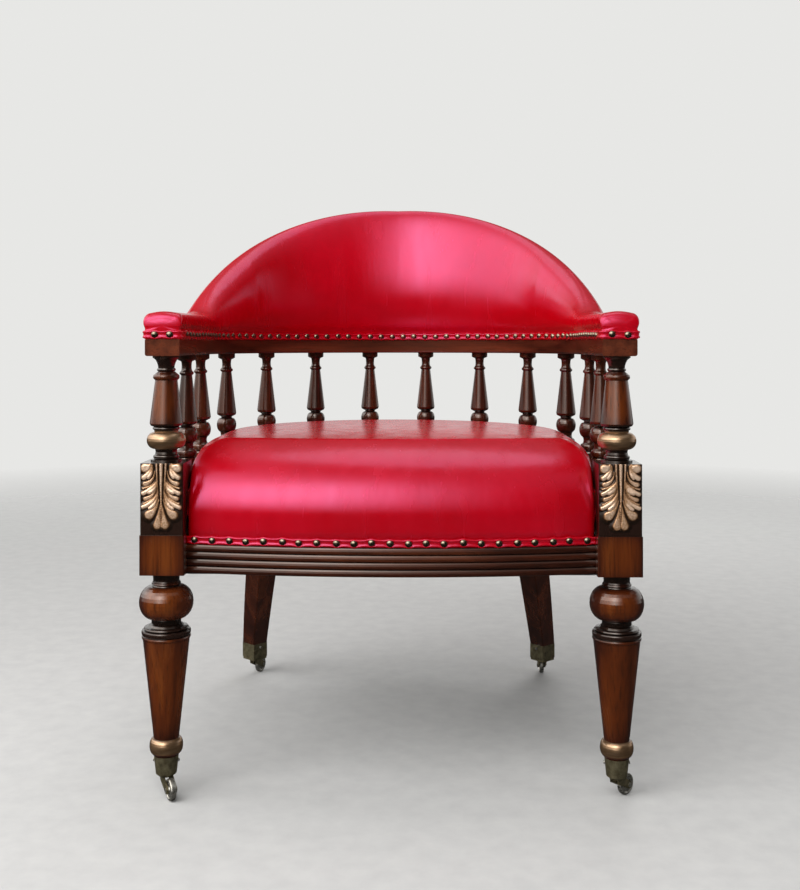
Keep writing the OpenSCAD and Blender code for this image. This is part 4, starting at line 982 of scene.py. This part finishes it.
def soften(height):
    """A grid of heights after each point has moved half way to the mean of its four neighbours."""
    p = np.pad(height, 1, mode="edge")
    return (p[1:-1, 1:-1] * 4 + p[:-2, 1:-1] + p[2:, 1:-1] + p[1:-1, :-2] + p[1:-1, 2:]) / 8


def make_leaf(side):
    """The leaf on the right (1) or left (-1) post: a grid of heights, closed by a flat back."""
    xs = np.arange(-LEAF_W, LEAF_W + LEAF_GRID / 2, LEAF_GRID)
    ys = np.arange(-1.0, LEAF_H, LEAF_GRID)
    grid_x, grid_y = np.meshgrid(xs, ys)
    # the two halves of a hand-carved leaf differ a little
    tilt = 0.5 * np.sin(grid_y / 11.0 + side)
    height = soften(soften(leaf_height(np.abs(grid_x + 0.25 * tilt), grid_y + 0.3 * tilt * np.sign(grid_x))))
    edge = np.clip((LEAF_W - np.abs(grid_x)) / 0.8, 0, 1)
    height = np.where(height > 0, height * np.sqrt(edge), height)
    form = bmesh.new()
    verts = {}
    keep = height > -0.45
    for j in range(len(ys)):
        for i in range(len(xs)):
            if keep[max(0, j - 1):j + 2, max(0, i - 1):i + 2].any():
                p = place([(side * BACK_R + xs[i], LEAF_FACE_Y - height[j, i], LEAF_TOP - ys[j])])[0]
                verts[j, i] = form.verts.new(p)
    for (j, i) in list(verts):
        ring = [(j, i), (j, i + 1), (j + 1, i + 1), (j + 1, i)]
        if all(k in verts for k in ring) and any(keep[k] for k in ring):
            form.faces.new([verts[k] for k in ring])
    bmesh.ops.delete(form, geom=[v for v in form.verts if not v.link_faces], context="VERTS")
    # the rim goes straight back to a flat face, sunk 1 mm into the block
    rim = [e for e in form.edges if e.is_boundary]
    made = bmesh.ops.extrude_edge_only(form, edges=rim)["geom"]
    for v in made:
        if isinstance(v, bmesh.types.BMVert):
            v.co.y = (LEAF_FACE_Y + 1.0 - MID_Y) * MM
    back_rim = [e for e in made if isinstance(e, bmesh.types.BMEdge)]
    bmesh.ops.triangle_fill(form, edges=back_rim, use_beauty=True)
    bmesh.ops.recalc_face_normals(form, faces=form.faces)
    name = "leaf_right" if side > 0 else "leaf_left"
    mesh = bpy.data.meshes.new(name)
    form.to_mesh(mesh)
    form.free()
    add_piece(name, mesh, GILT, "acanthus_right" if side > 0 else "acanthus_left")


make_leaf(-1)
make_leaf(1)

# Floor and light

FLOOR_R = 7.0
FLOOR_FADE = (0.9, 4.0)  # distances from the chair between which the floor fades into the backdrop
BACKDROP = 0.80  # level of the backdrop, and of the room behind the chair
CEILING = 0.40
DARK_SIDE = 0.03
ROOM_FILL = 0.22  # level of the even light that the chair gets from all round
# Soft windows on the chair's left, which only mirroring surfaces see. Each has its strength, then its ends
# round the chair, in radians from the camera's side, and up, as the height of the direction (see between).
WINDOWS = (
    (3.6, (-0.35, 0.30), (2.50, 1.50), (0.06, 0.42), (0.98, 0.72)),
    (1.2, (-0.30, 0.30), (1.10, 0.50), (0.35, 0.55), (0.85, 0.65)),
    (2.3, (-0.05, 0.30), (0.75, 0.36), (0.08, 0.30), (0.90, 0.80)),
)
# Name, place, aim, watts, width and height
LAMPS = (
    ("window", (-0.62, -1.60, 1.98), (0, -0.05, 0.45), 38, 2.3, 1.7),
    ("side_window", (-1.9, -0.85, 1.35), (0, 0.05, 0.6), 30, 2.6, 1.9),
    ("skylight", (0.1, 0.25, 2.6), (0, 0, 0.4), 8, 1.6, 1.2),
    ("rear_window", (0.7, 2.1, 1.5), (0, 0.1, 0.5), 16, 2.0, 1.4),
    ("far_side", (2.2, -0.9, 1.0), (0, 0, 0.5), 7, 0.8, 1.2),
)


def make_stage():
    """A pale floor that fades out into the backdrop."""
    form = bmesh.new()
    bmesh.ops.create_circle(form, cap_ends=True, segments=96, radius=FLOOR_R)
    mesh = bpy.data.meshes.new("floor")
    form.to_mesh(mesh)
    form.free()
    floor = bpy.data.objects.new("floor", mesh)
    bpy.context.scene.collection.objects.link(floor)
    s = Shade("pale_floor")
    x, y, z = s.split()
    tone = s.mix(s.span(s.noise(s.coords, 30.0, 4.0), 0.3, 0.7), (0.60, 0.595, 0.585), (0.66, 0.655, 0.64))
    s.set(base_color=tone, roughness=0.85, alpha=s.span(s.hypot(x, y), *FLOOR_FADE, 1.0, 0.0))
    floor.data.materials.append(s.material)
    floor.visible_glossy = False


def make_world():
    """A pale room. The camera sees an even backdrop. Mirroring surfaces see a room that is bright behind the
    chair, above the floor, and overhead, and dark on the camera's side, with the soft windows. All else gets
    an even fill."""
    world = bpy.data.worlds.new("studio")
    bpy.context.scene.world = world
    s = Shade("studio", world)
    path = s.nodes.new("ShaderNodeLightPath").outputs
    x, y, z = s.split()
    behind = s.product(s.span(y, -0.25, 0.35), s.span(z, 0.55, 0.38), s.span(z, -0.005, 0.03))
    behind = s.product(s.math("MAXIMUM", path["Is Camera Ray"], behind), BACKDROP)
    above = s.product(s.span(z, 0.55, 0.85), CEILING)
    room = s.math("MAXIMUM", s.math("MAXIMUM", behind, above), DARK_SIDE)
    turn = s.math("ARCTAN2", s.product(x, -1.0), s.product(y, -1.0))
    for strength, left, right, low, high in WINDOWS:
        glow = s.product(s.between(turn, left, right), s.between(z, low, high), strength)
        room = s.math("ADD", room, s.product(glow, path["Is Glossy Ray"]))
    seen = s.nodes["Background"]
    s.put(s.join(room, room, s.product(room, 0.98)), seen.inputs["Color"])
    fill = s.nodes.new("ShaderNodeBackground")
    fill.inputs["Color"].default_value = (1, 1, 1, 1)
    fill.inputs["Strength"].default_value = ROOM_FILL
    shown = s.math("MAXIMUM", path["Is Camera Ray"], path["Is Glossy Ray"])
    shown = s.math("MAXIMUM", shown, path["Is Transmission Ray"])
    mix = s.nodes.new("ShaderNodeMixShader")
    s.put(shown, mix.inputs["Fac"])
    s.put(fill.outputs[0], mix.inputs[1])
    s.put(seen.outputs[0], mix.inputs[2])
    s.put(mix.outputs[0], s.nodes["World Output"].inputs["Surface"])


def make_lamps():
    """Soft lamps. Mirroring surfaces see only the skylight; the world's windows stand in for the rest."""
    for name, at, to, energy, wide, tall in LAMPS:
        lamp = bpy.data.lights.new(name, "AREA")
        lamp.shape = "ELLIPSE"
        lamp.energy = energy
        lamp.size, lamp.size_y = wide, tall
        obj = bpy.data.objects.new(name, lamp)
        obj.location = at
        obj.rotation_euler = (Vector(to) - obj.location).to_track_quat("-Z", "Y").to_euler()
        obj.visible_camera = False
        obj.visible_glossy = name == "skylight"
        bpy.context.scene.collection.objects.link(obj)


bpy.context.scene.view_settings.view_transform = "Standard"
make_stage()
make_world()
make_lamps()
